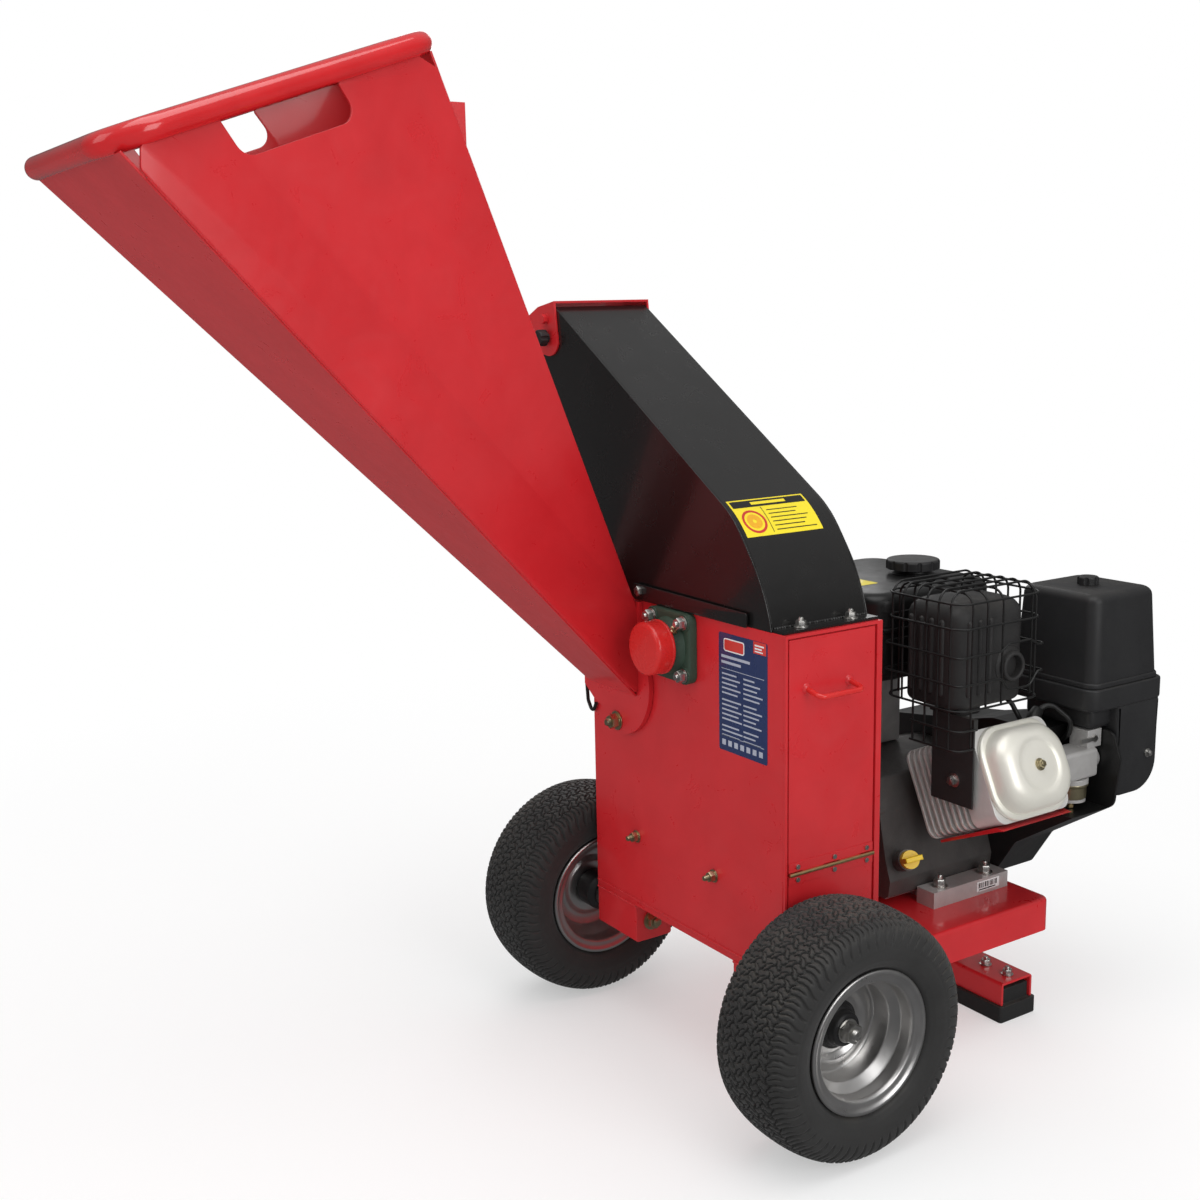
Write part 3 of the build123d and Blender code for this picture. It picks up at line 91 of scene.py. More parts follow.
class Surface:
    """A node material and the few nodes every finish is made from."""

    def __init__(self, name):
        self.material = bpy.data.materials.new(name)
        self.material.use_nodes = True
        self.tree = self.material.node_tree
        self.shader = self.tree.nodes["Principled BSDF"]
        self.coords = self.add("ShaderNodeTexCoord").outputs["Object"]

    def add(self, kind, inputs=(), **settings):
        return add_node(self.tree, kind, inputs, **settings)

    def noise(self, scale, detail, rough, distortion=0.0, stretch=None):
        coords = self.coords
        if stretch:
            coords = self.add("ShaderNodeMapping",
                              {"Vector": coords, "Scale": stretch}).outputs["Vector"]
        return self.add("ShaderNodeTexNoise", {
            "Vector": coords, "Scale": scale, "Detail": detail, "Roughness": rough,
            "Distortion": distortion}).outputs["Fac"]

    def remap(self, value, low, high, to_low=0.0, to_high=1.0):
        return self.add("ShaderNodeMapRange", {
            "Value": value, "From Min": low, "From Max": high,
            "To Min": to_low, "To Max": to_high}).outputs["Result"]

    def times(self, first, second):
        return self.add("ShaderNodeMath", {0: first, 1: second},
                        operation="MULTIPLY").outputs[0]

    def mix(self, factor, first, second):
        colours = [c + (1.0,) if isinstance(c, tuple) else c for c in (first, second)]
        return self.add("ShaderNodeMix", {0: factor, 6: colours[0], 7: colours[1]},
                        data_type="RGBA").outputs[2]

    def bump(self, height, strength, distance, normal=None):
        inputs = {"Height": height, "Strength": strength, "Distance": distance}
        if normal is not None:
            inputs["Normal"] = normal
        return self.add("ShaderNodeBump", inputs).outputs["Normal"]

    def rub_edges(self, colour, amount, edge_colour):
        """Worn edges, found where the rounded-corner normal leaves the flat one."""
        rounded = self.add("ShaderNodeBevel", {"Radius": 0.0022}, samples=4)
        flat = self.add("ShaderNodeNewGeometry")
        dot = self.add("ShaderNodeVectorMath", {
            0: rounded.outputs["Normal"], 1: flat.outputs["Normal"]}, operation="DOT_PRODUCT")
        edge = self.remap(dot.outputs["Value"], low=0.97, high=0.80)
        patches = self.remap(self.noise(scale=46, detail=6, rough=0.72), low=0.56, high=0.68)
        return self.mix(self.times(self.times(edge, patches), amount), colour, edge_colour)

    def dust_tops(self, colour, amount):
        """Pale dust in patches on faces that look up."""
        normal = self.add("ShaderNodeNewGeometry").outputs["Normal"]
        height = self.add("ShaderNodeSeparateXYZ", {0: normal}).outputs["Z"]
        facing_up = self.remap(height, low=0.35, high=1.0)
        patches = self.remap(self.noise(scale=14, detail=6, rough=0.7), low=0.42, high=0.75)
        return self.mix(self.times(self.times(facing_up, patches), amount),
                        colour, (0.32, 0.28, 0.22))


def finish(name, base, patch=None, plain=False, metal=0.0, rough=(0.3, 0.45), coat=0.0,
           coat_rough=0.05, spec=0.5, sheen=0.0, big=9.0, fine=260.0, bump=0.08,
           bump_depth=0.0004, peel=0.0, stretch=None, wear=0.0, wear_colour=None, dust=0.0):
    """A material with slightly uneven colour, smudged roughness and fine relief.

    patch: second colour of the mottling; rough: lowest and highest roughness; big, fine:
    noise scales of the mottling and of the relief; peel: orange-peel waviness of paint.
    """
    surface = Surface(name)
    if plain:
        colour = base + (1.0,)
    else:
        patch = patch or tuple(c * 0.82 for c in base)
        mottle = surface.noise(big, detail=5, rough=0.6, distortion=0.4)
        colour = surface.mix(surface.remap(mottle, low=0.3, high=0.72), patch, base)
    if wear > 0:
        colour = surface.rub_edges(colour, wear, wear_colour)
    if dust > 0:
        colour = surface.dust_tops(colour, dust)
    smudge = surface.noise(big * 2.7, detail=6, rough=0.7, distortion=0.8, stretch=stretch)
    normal = None
    if peel > 0:
        normal = surface.bump(surface.noise(scale=140, detail=2, rough=0.4),
                              strength=peel, distance=0.0003)
    grain = surface.noise(fine, detail=3, rough=0.6, stretch=stretch)
    inputs = {
        "Base Color": colour,
        "Metallic": metal,
        "Roughness": surface.remap(smudge, low=0.32, high=0.7,
                                   to_low=rough[0], to_high=rough[1]),
        "Coat Weight": coat,
        "Coat Roughness": coat_rough,
        "Specular IOR Level": spec,
        "Sheen Weight": sheen,
        "Normal": surface.bump(grain, bump, bump_depth, normal),
    }
    if coat > 0 and peel > 0:
        inputs["Coat Normal"] = surface.bump(surface.noise(scale=95, detail=2, rough=0.45),
                                             strength=peel * 0.8, distance=0.0003)
    set_inputs(surface.tree, surface.shader, inputs)
    return surface.material


RED = finish("red_powder_coat", (0.59, 0.018, 0.024), (0.52, 0.013, 0.018),
             rough=(0.26, 0.38), coat=0.5, coat_rough=0.09, peel=0.09, bump=0.02,
             wear=0.045, wear_colour=(0.26, 0.02, 0.02), dust=0.02)
RED_TUBE = finish("red_gloss_tube", (0.62, 0.016, 0.020), (0.52, 0.011, 0.014),
                  rough=(0.16, 0.26), coat=0.9, coat_rough=0.05, peel=0.10, bump=0.02)
BLACK = finish("black_powder_coat", (0.0105, 0.0100, 0.0098), (0.008, 0.0076, 0.0075),
               rough=(0.20, 0.30), coat=0.35, coat_rough=0.08, peel=0.10, bump=0.02,
               wear=0.12, wear_colour=(0.06, 0.06, 0.06))
GLOSS_BLACK = finish("black_gloss_engine", (0.011, 0.0105, 0.0105), (0.008, 0.008, 0.008),
                     rough=(0.30, 0.42), coat=0.1, coat_rough=0.2, peel=0.08, bump=0.03,
                     spec=0.4)
GUARD_BLACK = finish("guard_black", (0.011, 0.011, 0.011), rough=(0.35, 0.5), peel=0.1,
                     bump=0.06)
PLASTIC = finish("black_moulding", (0.020, 0.020, 0.021), (0.014, 0.014, 0.015),
                 rough=(0.42, 0.56), bump=0.22, fine=900, bump_depth=0.0002, dust=0.06)
HUB_PLASTIC = finish("black_hub_plastic", (0.016, 0.016, 0.017), bump=0.1, fine=700,
                     dust=0.05)
TYRE = finish("tyre_rubber", (0.023, 0.0225, 0.022), (0.016, 0.0155, 0.015),
              rough=(0.52, 0.70), bump=0.25, fine=600, bump_depth=0.0003, dust=0.20,
              sheen=0.1)
PAD = finish("rubber_pad", (0.018, 0.018, 0.018), rough=(0.6, 0.78), bump=0.3, fine=500,
             dust=0.15)
RIM = finish("bright_rim", (0.74, 0.73, 0.72), (0.62, 0.61, 0.60), metal=1.0,
             rough=(0.27, 0.42), bump=0.06, fine=300, peel=0.05)
ZINC = finish("zinc_plate", (0.70, 0.69, 0.66), (0.50, 0.49, 0.47), metal=1.0,
              rough=(0.24, 0.42), bump=0.14, fine=500, big=60)
YELLOW_ZINC = finish("yellow_zinc", (0.66, 0.55, 0.30), (0.46, 0.42, 0.30), metal=1.0,
                     rough=(0.26, 0.42), bump=0.12, fine=500, big=70)
BRASS = finish("hinge_brass", (0.72, 0.55, 0.28), (0.55, 0.40, 0.2), metal=1.0,
               rough=(0.28, 0.45), bump=0.1, fine=500, big=70)
# crankcase: the cast alloy finish in a darker colour, partly painted shade for the shadow the
# crankcase sits in
CASE_PAINTED_SHADE = finish("crankcase_painted_shade", (0.125, 0.118, 0.114), (0.085, 0.080, 0.078), metal=0.55,
              rough=(0.38, 0.56), bump=0.45, fine=420, bump_depth=0.0006, big=20, dust=0.05)
CAST = finish("cast_alloy", (0.62, 0.61, 0.60), (0.48, 0.47, 0.46), metal=0.55,
              rough=(0.36, 0.56), bump=0.45, fine=420, bump_depth=0.0006, big=20, dust=0.08)
FINS = finish("cast_fins", (0.80, 0.79, 0.77), (0.66, 0.65, 0.63), metal=0.4,
              rough=(0.34, 0.5), bump=0.35, fine=420, bump_depth=0.0005, big=20)
GOLD = finish("champagne_cover", (0.92, 0.90, 0.82), (0.86, 0.84, 0.75), metal=0.42,
              rough=(0.32, 0.42), bump=0.04, fine=500, coat=0.25, coat_rough=0.2)
MUFFLER = finish("muffler_paint", (0.030, 0.029, 0.029), (0.020, 0.019, 0.019),
                 rough=(0.48, 0.66), bump=0.3, fine=500, dust=0.12)
GREEN = finish("green_cast_iron", (0.035, 0.070, 0.045), (0.025, 0.05, 0.033),
               rough=(0.42, 0.6), bump=0.55, fine=340, bump_depth=0.0008, big=30,
               wear=0.4, wear_colour=(0.12, 0.12, 0.11))
RED_PLASTIC = finish("red_cap_plastic", (0.62, 0.022, 0.020), (0.55, 0.016, 0.015),
                     rough=(0.22, 0.32), coat=0.3, bump=0.04, fine=600)
YELLOW = finish("yellow_plastic", (0.86, 0.60, 0.015), (0.75, 0.50, 0.01),
                rough=(0.3, 0.42), bump=0.06, fine=600)
STEEL = finish("bare_steel", (0.46, 0.46, 0.46), (0.30, 0.29, 0.28), metal=1.0,
               rough=(0.3, 0.5), bump=0.2, fine=300, stretch=(1, 9, 1), big=25)
IRON = finish("machined_iron", (0.20, 0.20, 0.205), (0.13, 0.13, 0.13), metal=0.9,
              rough=(0.35, 0.55), bump=0.2, fine=300, big=40)
BELT = finish("belt_rubber", (0.02, 0.02, 0.02), rough=(0.6, 0.75), bump=0.3, fine=500)
CABLE = finish("cable_black", (0.012, 0.012, 0.012), rough=(0.35, 0.5), bump=0.1, fine=500)
BOWL = finish("brass_bowl", (0.62, 0.55, 0.36), (0.5, 0.44, 0.28), metal=1.0, bump=0.1,
              fine=400, big=60)
LABEL_NAVY = finish("label_navy", (0.020, 0.035, 0.11), (0.017, 0.030, 0.095),
                    rough=(0.22, 0.32), coat=0.4, bump=0.02)
LABEL_WHITE = finish("label_white", (0.78, 0.78, 0.78), rough=(0.3, 0.4), bump=0.02)
LABEL_GREY = finish("label_grey", (0.40, 0.43, 0.52), rough=(0.3, 0.4), bump=0.02)
LABEL_YELLOW = finish("label_yellow", (0.86, 0.70, 0.02), (0.82, 0.66, 0.02),
                      rough=(0.25, 0.35), coat=0.4, bump=0.02)
LABEL_BLACK = finish("label_black", (0.012, 0.012, 0.012), rough=(0.3, 0.4), bump=0.02)
LABEL_RED = finish("label_red", (0.60, 0.04, 0.03), rough=(0.3, 0.4), bump=0.02)
LABEL_ORANGE = finish("label_orange", (0.85, 0.42, 0.02), rough=(0.25, 0.35), bump=0.02)

# -------------------------------------------------------------- mesh to object


def place(name, mesh, material, body="chassis", slot=None, replaces=(), angle=35, shift=True):
    """Put a mesh in the scene; edges sharper than angle (degrees) are shaded hard."""
    if shift:
        mesh.transform(Matrix.Translation(OFFSET))
    obj = bpy.data.objects.new(name, mesh)
    OBJECTS.link(obj)
    mesh.materials.clear()
    mesh.materials.append(material)
    for face in mesh.polygons:
        face.use_smooth = True
    mesh.set_sharp_from_angle(angle=math.radians(angle))
    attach(obj, body)
    if replaces:
        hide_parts(*replaces)
    return obj


def clean(mesh, merge=None):
    """Merge points closer than merge (metres) and turn all faces outwards."""
    bm = bmesh.new()
    bm.from_mesh(mesh)
    if merge:
        bmesh.ops.remove_doubles(bm, verts=bm.verts, dist=merge)
    bmesh.ops.recalc_face_normals(bm, faces=bm.faces)
    bm.to_mesh(mesh)
    bm.free()


def build(name, shape, material, **options):
    """Object from a shape, which is a pair (points in mm, faces)."""
    points, faces = shape
    mesh = bpy.data.meshes.new(name)
    mesh.from_pydata([tuple(c * MM for c in point) for point in points], [], faces)
    mesh.update()
    clean(mesh, merge=1e-6)
    return place(name, mesh, material, **options)


def from_cad(node, material, width, segments=2, smooth=38, slot=None):
    """A CAD piece freed of its triangulation, with edges rounded by width (mm)."""
    bm = bmesh.new()
    bm.from_mesh(NODES[node].data)
    bmesh.ops.remove_doubles(bm, verts=bm.verts, dist=1e-5)
    bmesh.ops.dissolve_limit(bm, angle_limit=math.radians(0.6), verts=bm.verts,
                             edges=bm.edges)
    bmesh.ops.recalc_face_normals(bm, faces=bm.faces)
    corners = [edge for edge in bm.edges if len(edge.link_faces) == 2
               and edge.calc_face_angle(0) > math.radians(32)]
    bmesh.ops.bevel(bm, geom=corners, offset=width * MM, offset_type="OFFSET",
                    segments=segments, profile=0.6, affect="EDGES", clamp_overlap=True)
    bmesh.ops.remove_doubles(bm, verts=bm.verts, dist=1e-6)
    many_sided = [face for face in bm.faces if len(face.verts) > 4]
    if many_sided:
        bmesh.ops.triangulate(bm, faces=many_sided, quad_method="BEAUTY",
                              ngon_method="BEAUTY")
    name = "vis_" + node
    mesh = bpy.data.meshes.new(name)
    bm.to_mesh(mesh)
    bm.free()
    obj = place(name, mesh, material, body=BODY_OF[node], slot=slot, replaces=(node,),
                angle=smooth, shift=False)
    normals = obj.modifiers.new("normals", "WEIGHTED_NORMAL")
    normals.keep_sharp = True
    normals.weight = 60
    return obj


def from_cad_table(rows):
    """rows: (node, material, edge width, bevel segments)."""
    for row in rows:
        from_cad(*row)


# ------------------------------------------------------------- outlines, paths


def fillet(before, corner, after, radius, reach, steps):
    """Points of an arc rounding a corner; it uses at most the share reach of each side."""
    back, ahead = before - corner, after - corner
    back_dir, ahead_dir = back.normalized(), ahead.normalized()
    angle = back_dir.angle(ahead_dir)
    if angle > math.pi - 0.02:
        return [corner]
    half = angle / 2
    cut = min(radius / math.tan(half), back.length * reach, ahead.length * reach)
    to_centre = cut * math.tan(half) / math.sin(half)
    centre = corner + (back_dir + ahead_dir).normalized() * to_centre
    first = corner + back_dir * cut - centre
    last = corner + ahead_dir * cut - centre
    sweep, axis = first.angle(last), first.cross(last).normalized()
    return [centre + Matrix.Rotation(sweep * j / steps, 3, axis) @ first
            for j in range(steps + 1)]


def round_path(points, radius, cyclic=False, steps=8):
    """3-D polyline with rounded corners."""
    points = [Vector(p) for p in points]
    count = len(points)
    path = []
    for i, point in enumerate(points):
        if not cyclic and i in (0, count - 1):
            path.append(point)
        else:
            path += fillet(points[i - 1], point, points[(i + 1) % count], radius, 0.48, steps)
    return path


def round_outline(points, radius, steps=6):
    """Closed 2-D outline with rounded corners; radius may be a list, one per corner."""
    points = [Vector((*p, 0)) for p in points]
    count = len(points)
    radii = radius if isinstance(radius, list) else [radius] * count
    return [(p.x, p.y) for i in range(count)
            for p in fillet(points[i - 1], points[i], points[(i + 1) % count],
                            radii[i], 0.49, steps)]


def round_rectangle(x0, x1, y0, y1, radius, steps):
    return round_outline([(x0, y0), (x1, y0), (x1, y1), (x0, y1)], radius, steps)


def loft_ring(width, depth, radius, centre=(0, 0), steps=8):
    """Rounded rectangle with a fixed point count, for one section of a loft."""
    radius = max(min(radius, width / 2 - 0.01, depth / 2 - 0.01), 0.05)
    ring = []
    for quarter, (sx, sy) in enumerate(((1, 1), (-1, 1), (-1, -1), (1, -1))):
        for j in range(steps + 1):
            turn = math.pi / 2 * (quarter + j / steps)
            ring.append((centre[0] + sx * (width / 2 - radius) + radius * math.cos(turn),
                         centre[1] + sy * (depth / 2 - radius) + radius * math.sin(turn)))
    return ring


def round_profile(points, radius=1.0, steps=3):
    """Closed (radius, height) profile with rounded corners; points on the axis stay."""
    out = []
    for i, point in enumerate(points):
        corner = Vector(point)
        if corner[0] < 1e-6:
            out.append(tuple(corner))
            continue
        back = Vector(points[i - 1]) - corner
        ahead = Vector(points[(i + 1) % len(points)]) - corner
        if back.length < 1e-6 or ahead.length < 1e-6:
            continue
        cut = min(radius, back.length * 0.45, ahead.length * 0.45)
        start, end = corner + back / back.length * cut, corner + ahead / ahead.length * cut
        for j in range(steps + 1):
            t = j / steps
            out.append(tuple(start * (1 - t) ** 2 + corner * 2 * t * (1 - t) + end * t * t))
    return out


# ---------------------------------------------------------------------- shapes


def merge(*shapes):
    points, faces = [], []
    for shape_points, shape_faces in shapes:
        first = len(points)
        points += shape_points
        faces += [tuple(i + first for i in face) for face in shape_faces]
    return points, faces


def skin(rings, cyclic=False, caps=True):
    """Surface over rings of equally many points, capped at both ends unless cyclic."""
    count, size = len(rings), len(rings[0])
    faces = []
    for i in range(count if cyclic else count - 1):
        j = (i + 1) % count
        for k in range(size):
            l = (k + 1) % size
            faces.append((i * size + k, i * size + l, j * size + l, j * size + k))
    if caps and not cyclic:
        faces.append(tuple(range(size))[::-1])
        faces.append(tuple((count - 1) * size + k for k in range(size)))
    return [point for ring in rings for point in ring], faces


def basis(axis):
    """Two unit vectors square to the axis, and the unit axis."""
    axis = Vector(axis).normalized()
    guide = Z if abs(axis.z) < 0.9 else X
    side = (guide - axis * guide.dot(axis)).normalized()
    return side, axis.cross(side), axis


def revolve(profile, origin, axis, segments):
    """Closed (radius, height) profile turned about an axis through origin."""
    side, other, axis = basis(axis)
    origin = Vector(origin)
    size = len(profile)
    points, faces = [], []
    for i in range(segments):
        turn = 2 * math.pi * i / segments
        spoke = side * math.cos(turn) + other * math.sin(turn)
        points += [origin + spoke * r + axis * h for r, h in profile]
        j = (i + 1) % segments
        for k in range(size):
            l = (k + 1) % size
            faces.append((i * size + k, j * size + k, j * size + l, i * size + l))
    return points, faces


def turned(profile, origin, axis, segments, corner=1.0, steps=3):
    """As revolve, with the profile's corners rounded."""
    return revolve(round_profile(profile, corner, steps), origin, axis, segments)


def tube(path, radius, cyclic=False, sides=12):
    """Round tube along a path; radius may be a list, one per point."""
    path = [Vector(p) for p in path]
    count = len(path)
    radii = radius if isinstance(radius, list) else [radius] * count
    tangents = []
    for i in range(count):
        if cyclic:
            chord = path[(i + 1) % count] - path[i - 1]
        else:
            chord = path[min(i + 1, count - 1)] - path[max(i - 1, 0)]
        tangents.append(chord.normalized())
    side, other, _ = basis(tangents[0])
    frames = [(side, other)]
    for i in range(1, count):
        turn = tangents[i - 1].rotation_difference(tangents[i])
        side, other = turn @ side, turn @ other
        frames.append((side, other))
    twist = 0.0
    if cyclic:
        # the frame comes back turned by this much, so it is spread along the loop
        end = tangents[-1].rotation_difference(tangents[0]) @ side
        twist = math.atan2(end.dot(frames[0][1]), end.dot(frames[0][0]))
    rings = []
    for i, (side, other) in enumerate(frames):
        turns = [2 * math.pi * k / sides - twist * i / count for k in range(sides)]
        rings.append([path[i] + (side * math.cos(t) + other * math.sin(t)) * radii[i]
                      for t in turns])
    return skin(rings, cyclic)


def weld(path, radius, seed, step):
    """Weld bead: a tube swelling once every step, slightly irregular."""
    path = [Vector(p) for p in path]
    travel = [0.0]
    for start, end in zip(path, path[1:]):
        travel.append(travel[-1] + (end - start).length)
    count = max(8, int(travel[-1] / (step / 4)))
    random = np.random.RandomState(seed)
    points, radii = [], []
    j = 0
    for i in range(count + 1):
        s = travel[-1] * i / count
        while j < len(travel) - 2 and travel[j + 1] < s:
            j += 1
        points.append(path[j].lerp(path[j + 1], (s - travel[j]) / (travel[j + 1] - travel[j])))
        swell = abs(math.sin(math.pi * s / step))
        radii.append(radius * (0.80 + 0.25 * swell + 0.04 * random.randn()))
    return tube(points, radii, sides=10)


def hexagon(seat, axis, flats, height):
    """Hexagon prism with a chamfered free end."""
    side, other, axis = basis(axis)
    seat = Vector(seat)
    radius = flats / 2 / math.cos(math.pi / 6)
    return skin([[seat + (side * math.cos(math.pi / 3 * k)
                          + other * math.sin(math.pi / 3 * k)) * r + axis * h
                  for k in range(6)]
                 for r, h in ((radius, 0), (radius, height - 0.12 * flats),
                              (radius * 0.9, height))])


WASHER_THICK = 1.5
THREAD_PITCH = 1.25


def bolt(seat, axis, flats, height, washer=0.0, stud=0.0):
    """Hexagon head on two washers of radius washer, with a threaded stud or a low crown."""
    seat, axis = Vector(seat), Vector(axis).normalized()
    parts = []
    lift = 0.0
    if washer:
        for radius, base, thick in ((washer, 0.0, WASHER_THICK),
                                    (washer * 0.78, WASHER_THICK, WASHER_THICK * 0.8)):
            parts.append(turned([(0, 0), (radius, 0), (radius, thick), (0, thick)],
                                seat + axis * base, axis, 28, 0.4, 2))
        lift = WASHER_THICK * 1.8
    parts.append(hexagon(seat + axis * lift, axis, flats, height))
    top = seat + axis * (lift + height)
    if stud:
        radius = flats * 0.3
        profile = [(0, 0)]
        for i in range(int(stud / THREAD_PITCH)):
            profile += [(radius, i * THREAD_PITCH + 0.1),
                        (radius * 0.88, i * THREAD_PITCH + 0.75)]
        profile += [(radius * 0.8, stud), (0, stud)]
        parts.append(revolve(profile, top, axis, 20))
    else:
        crown = [(0, -0.2), (flats * 0.33, -0.2), (flats * 0.28, 0.5), (0, 0.5)]
        parts.append(turned(crown, top, axis, 20, 0.4, 2))
    return merge(*parts)


def loft(sections, plane):
    """Solid through sections (height, ring of 2-D points) over plane = (origin, x, y)."""
    origin, x, y = (Vector(c) for c in plane)
    normal = x.cross(y)
    size, last = len(sections[0][1]), len(sections) - 1
    points, faces = skin([[origin + x * a + y * b + normal * height for a, b in ring]
                          for height, ring in sections], caps=False)
    for i in (0, last):
        height, ring = sections[i]
        a, b = (sum(p[c] for p in ring) / size for c in (0, 1))
        points.append(origin + x * a + y * b + normal * height)
        centre = len(points) - 1
        for k in range(size):
            edge = (i * size + k, i * size + (k + 1) % size)
            faces.append((edge if i else edge[::-1]) + (centre,))
    return points, faces


# ------------------------------------------------------- shapes made as objects


def plate(name, outline, plane, thick, material, edge, **options):
    """Plate with edges rounded by edge, over plane = (origin, x, y), grown along x cross y."""
    origin, x, y = (Vector(c) for c in plane)
    x.normalize()
    y.normalize()
    normal = x.cross(y)
    edge = min(edge, thick * 0.45)
    curve = bpy.data.curves.new(name + "_c", "CURVE")
    curve.dimensions = "2D"
    curve.fill_mode = "BOTH"
    spline = curve.splines.new("POLY")
    spline.points.add(len(outline) - 1)
    for i, (a, b) in enumerate(outline):
        spline.points[i].co = (a * MM, b * MM, 0, 1)
    spline.use_cyclic_u = True
    curve.extrude = (thick / 2 - edge) * MM
    curve.bevel_depth = edge * MM
    curve.bevel_resolution = 2
    curve.offset = -edge * MM
    carrier = bpy.data.objects.new(name + "_c", curve)
    OBJECTS.link(carrier)
    depsgraph = bpy.context.evaluated_depsgraph_get()
    mesh = bpy.data.meshes.new_from_object(carrier.evaluated_get(depsgraph))
    bpy.data.objects.remove(carrier)
    bpy.data.curves.remove(curve)
    centre = origin * MM + normal * (thick / 2 * MM)
    mesh.transform(Matrix(((x.x, y.x, normal.x, centre.x), (x.y, y.y, normal.y, centre.y),
                           (x.z, y.z, normal.z, centre.z), (0, 0, 0, 1))))
    mesh.name = name
    clean(mesh, merge=2e-6)
    return place(name, mesh, material, **options)


def block(name, low, high, edge, material, **options):
    """Box between two corners with rounded edges."""
    bm = bmesh.new()
    bmesh.ops.create_cube(bm, size=1.0)
    for vert in bm.verts:
        vert.co = Vector([((a + b) / 2 + c * (b - a)) * MM
                          for a, b, c in zip(low, high, vert.co)])
    bmesh.ops.bevel(bm, geom=list(bm.edges), offset=edge * MM, offset_type="OFFSET",
                    segments=3, profile=0.5, affect="EDGES", clamp_overlap=True)
    mesh = bpy.data.meshes.new(name)
    bm.to_mesh(mesh)
    bm.free()
    return place(name, mesh, material, **options)


def soft_box(name, x_span, y_span, z_span, radii, material, taper=0.0, **options):
    """Pressed box. radii: upright corners, bottom edge, top edge; taper: shrink at the top."""
    (x0, x1), (y0, y1), (z0, z1) = x_span, y_span, z_span
    corner, bottom, top = radii
    turns = [math.pi / 2 * j / 6 for j in range(7)]
    levels = [(z0 + bottom * (1 - math.cos(t)), bottom * (1 - math.sin(t))) for t in turns]
    levels += [(z1 - top * (1 - math.sin(t)), top * (1 - math.cos(t))) for t in turns]
    sections = []
    for z, inset in levels:
        shrink = 2 * inset + taper * (z - z0) / (z1 - z0)
        sections.append((z, loft_ring(x1 - x0 - shrink, y1 - y0 - shrink,
                                      corner - inset * 0.7, ((x0 + x1) / 2, (y0 + y1) / 2))))
    return build(name, loft(sections, ((0, 0, 0), X, Y)), material, **options)


# ---------------------------------------------------- housing, frame and rotor

from_cad_table((
    ("front_plate", RED, 1.2, 3), ("rear_plate", RED, 1.2), ("wrap_sheet", RED, 1.2, 3),
    ("door_frame", RED, 0.9), ("scroll_liner", STEEL, 0.3), ("bed_knife", STEEL, 0.5),
    ("engine_frame", RED, 1.6, 3), ("frame_brackets", RED, 1.4, 3),
    ("foot_channel", RED, 1.2), ("foot_pads", PAD, 1.4), ("axle_stubs", STEEL, 0.6),
    ("belt_guard", BLACK, 1.2, 3), ("v_belts", BELT, 0.6),
    ("rotor_shaft", STEEL, 0.4), ("rotor_disc", IRON, 0.8), ("rotor_knives", STEEL, 0.3),
    ("fan_paddles", IRON, 0.5), ("driven_pulley", IRON, 0.5), ("drive_pulley", IRON, 0.5),
))

# ------------------------------------------------------------- rotor bearings

ROTOR_X, ROTOR_Z = -8.0, 597.0
FRONT_Y, REAR_Y = -28.0, 131.0        # outer faces of the housing plates
BEARING_FACES = (("front", -1, FRONT_Y), ("rear", 1, REAR_Y))
FLANGE_SIZE, FLANGE_CORNER = 95, 13
BOLT_SPREAD = 35.4                    # flange bolts, out from the rotor axis in x and in z
PAD_HEIGHT = 14
# height above the plate, inset of the outline
FLANGE_SECTIONS = ((0.0, 0.6), (0.6, 0.0), (9.6, 0.0), (11.6, 0.8), (12.7, 2.6), (13.0, 5.0))
# radius, height
BOSS = [(14, 10), (40, 10), (38.5, 14.5), (33, 22), (31.5, 24), (31.5, 31), (29.5, 33),
        (14, 33)]
BEARING_PAD = [(0, 11), (12.5, 11), (11.8, PAD_HEIGHT), (0, PAD_HEIGHT)]
COVER = [(30, 25.2), (36, 25.2), (36, 49.6), (34.6, 52.4), (31.0, 53.8), (0, 54.0),
         (0, 51.0), (30, 50.5)]
COVER_BEAD = [(34.8, 26.0), (36.9, 26.6), (36.9, 29.8), (34.8, 30.4)]
FLANGE_BOLTS = [(ROTOR_X + sx * BOLT_SPREAD, ROTOR_Z + sz * BOLT_SPREAD)
                for sx in (-1, 1) for sz in (-1, 1)]


def bearing(end, outward, face_y):
    """Square flange, stepped boss and a round pad under each bolt."""
    centre, axis = (ROTOR_X, face_y, ROTOR_Z), Y * outward
    sections = [(height, loft_ring(FLANGE_SIZE - 2 * inset, FLANGE_SIZE - 2 * inset,
                                   FLANGE_CORNER)) for height, inset in FLANGE_SECTIONS]
    build("bearing_flange_" + end, loft(sections, (centre, X * -outward, Z)), GREEN,
          slot="green_cast", replaces=("bearing_housings",) if end == "front" else ())
    build("bearing_boss_" + end, turned(BOSS, centre, axis, 72, 1.6), GREEN,
          slot="green_cast")
    for k, (x, z) in enumerate(FLANGE_BOLTS):
        build(f"bearing_pad_{end}_{k}", turned(BEARING_PAD, (x, face_y, z), axis, 32, 0.8),
              GREEN, slot="green_cast")


def front_bearing_cap():
    centre = (ROTOR_X, FRONT_Y, ROTOR_Z)
    build("bearing_cover", turned(COVER, centre, -Y, 96, 1.6), RED_PLASTIC,
          slot="red_plastic", replaces=("bearing_cap",))
    build("bearing_cover_bead", turned(COVER_BEAD, centre, -Y, 96, 0.8), RED_PLASTIC,
          slot="red_plastic")


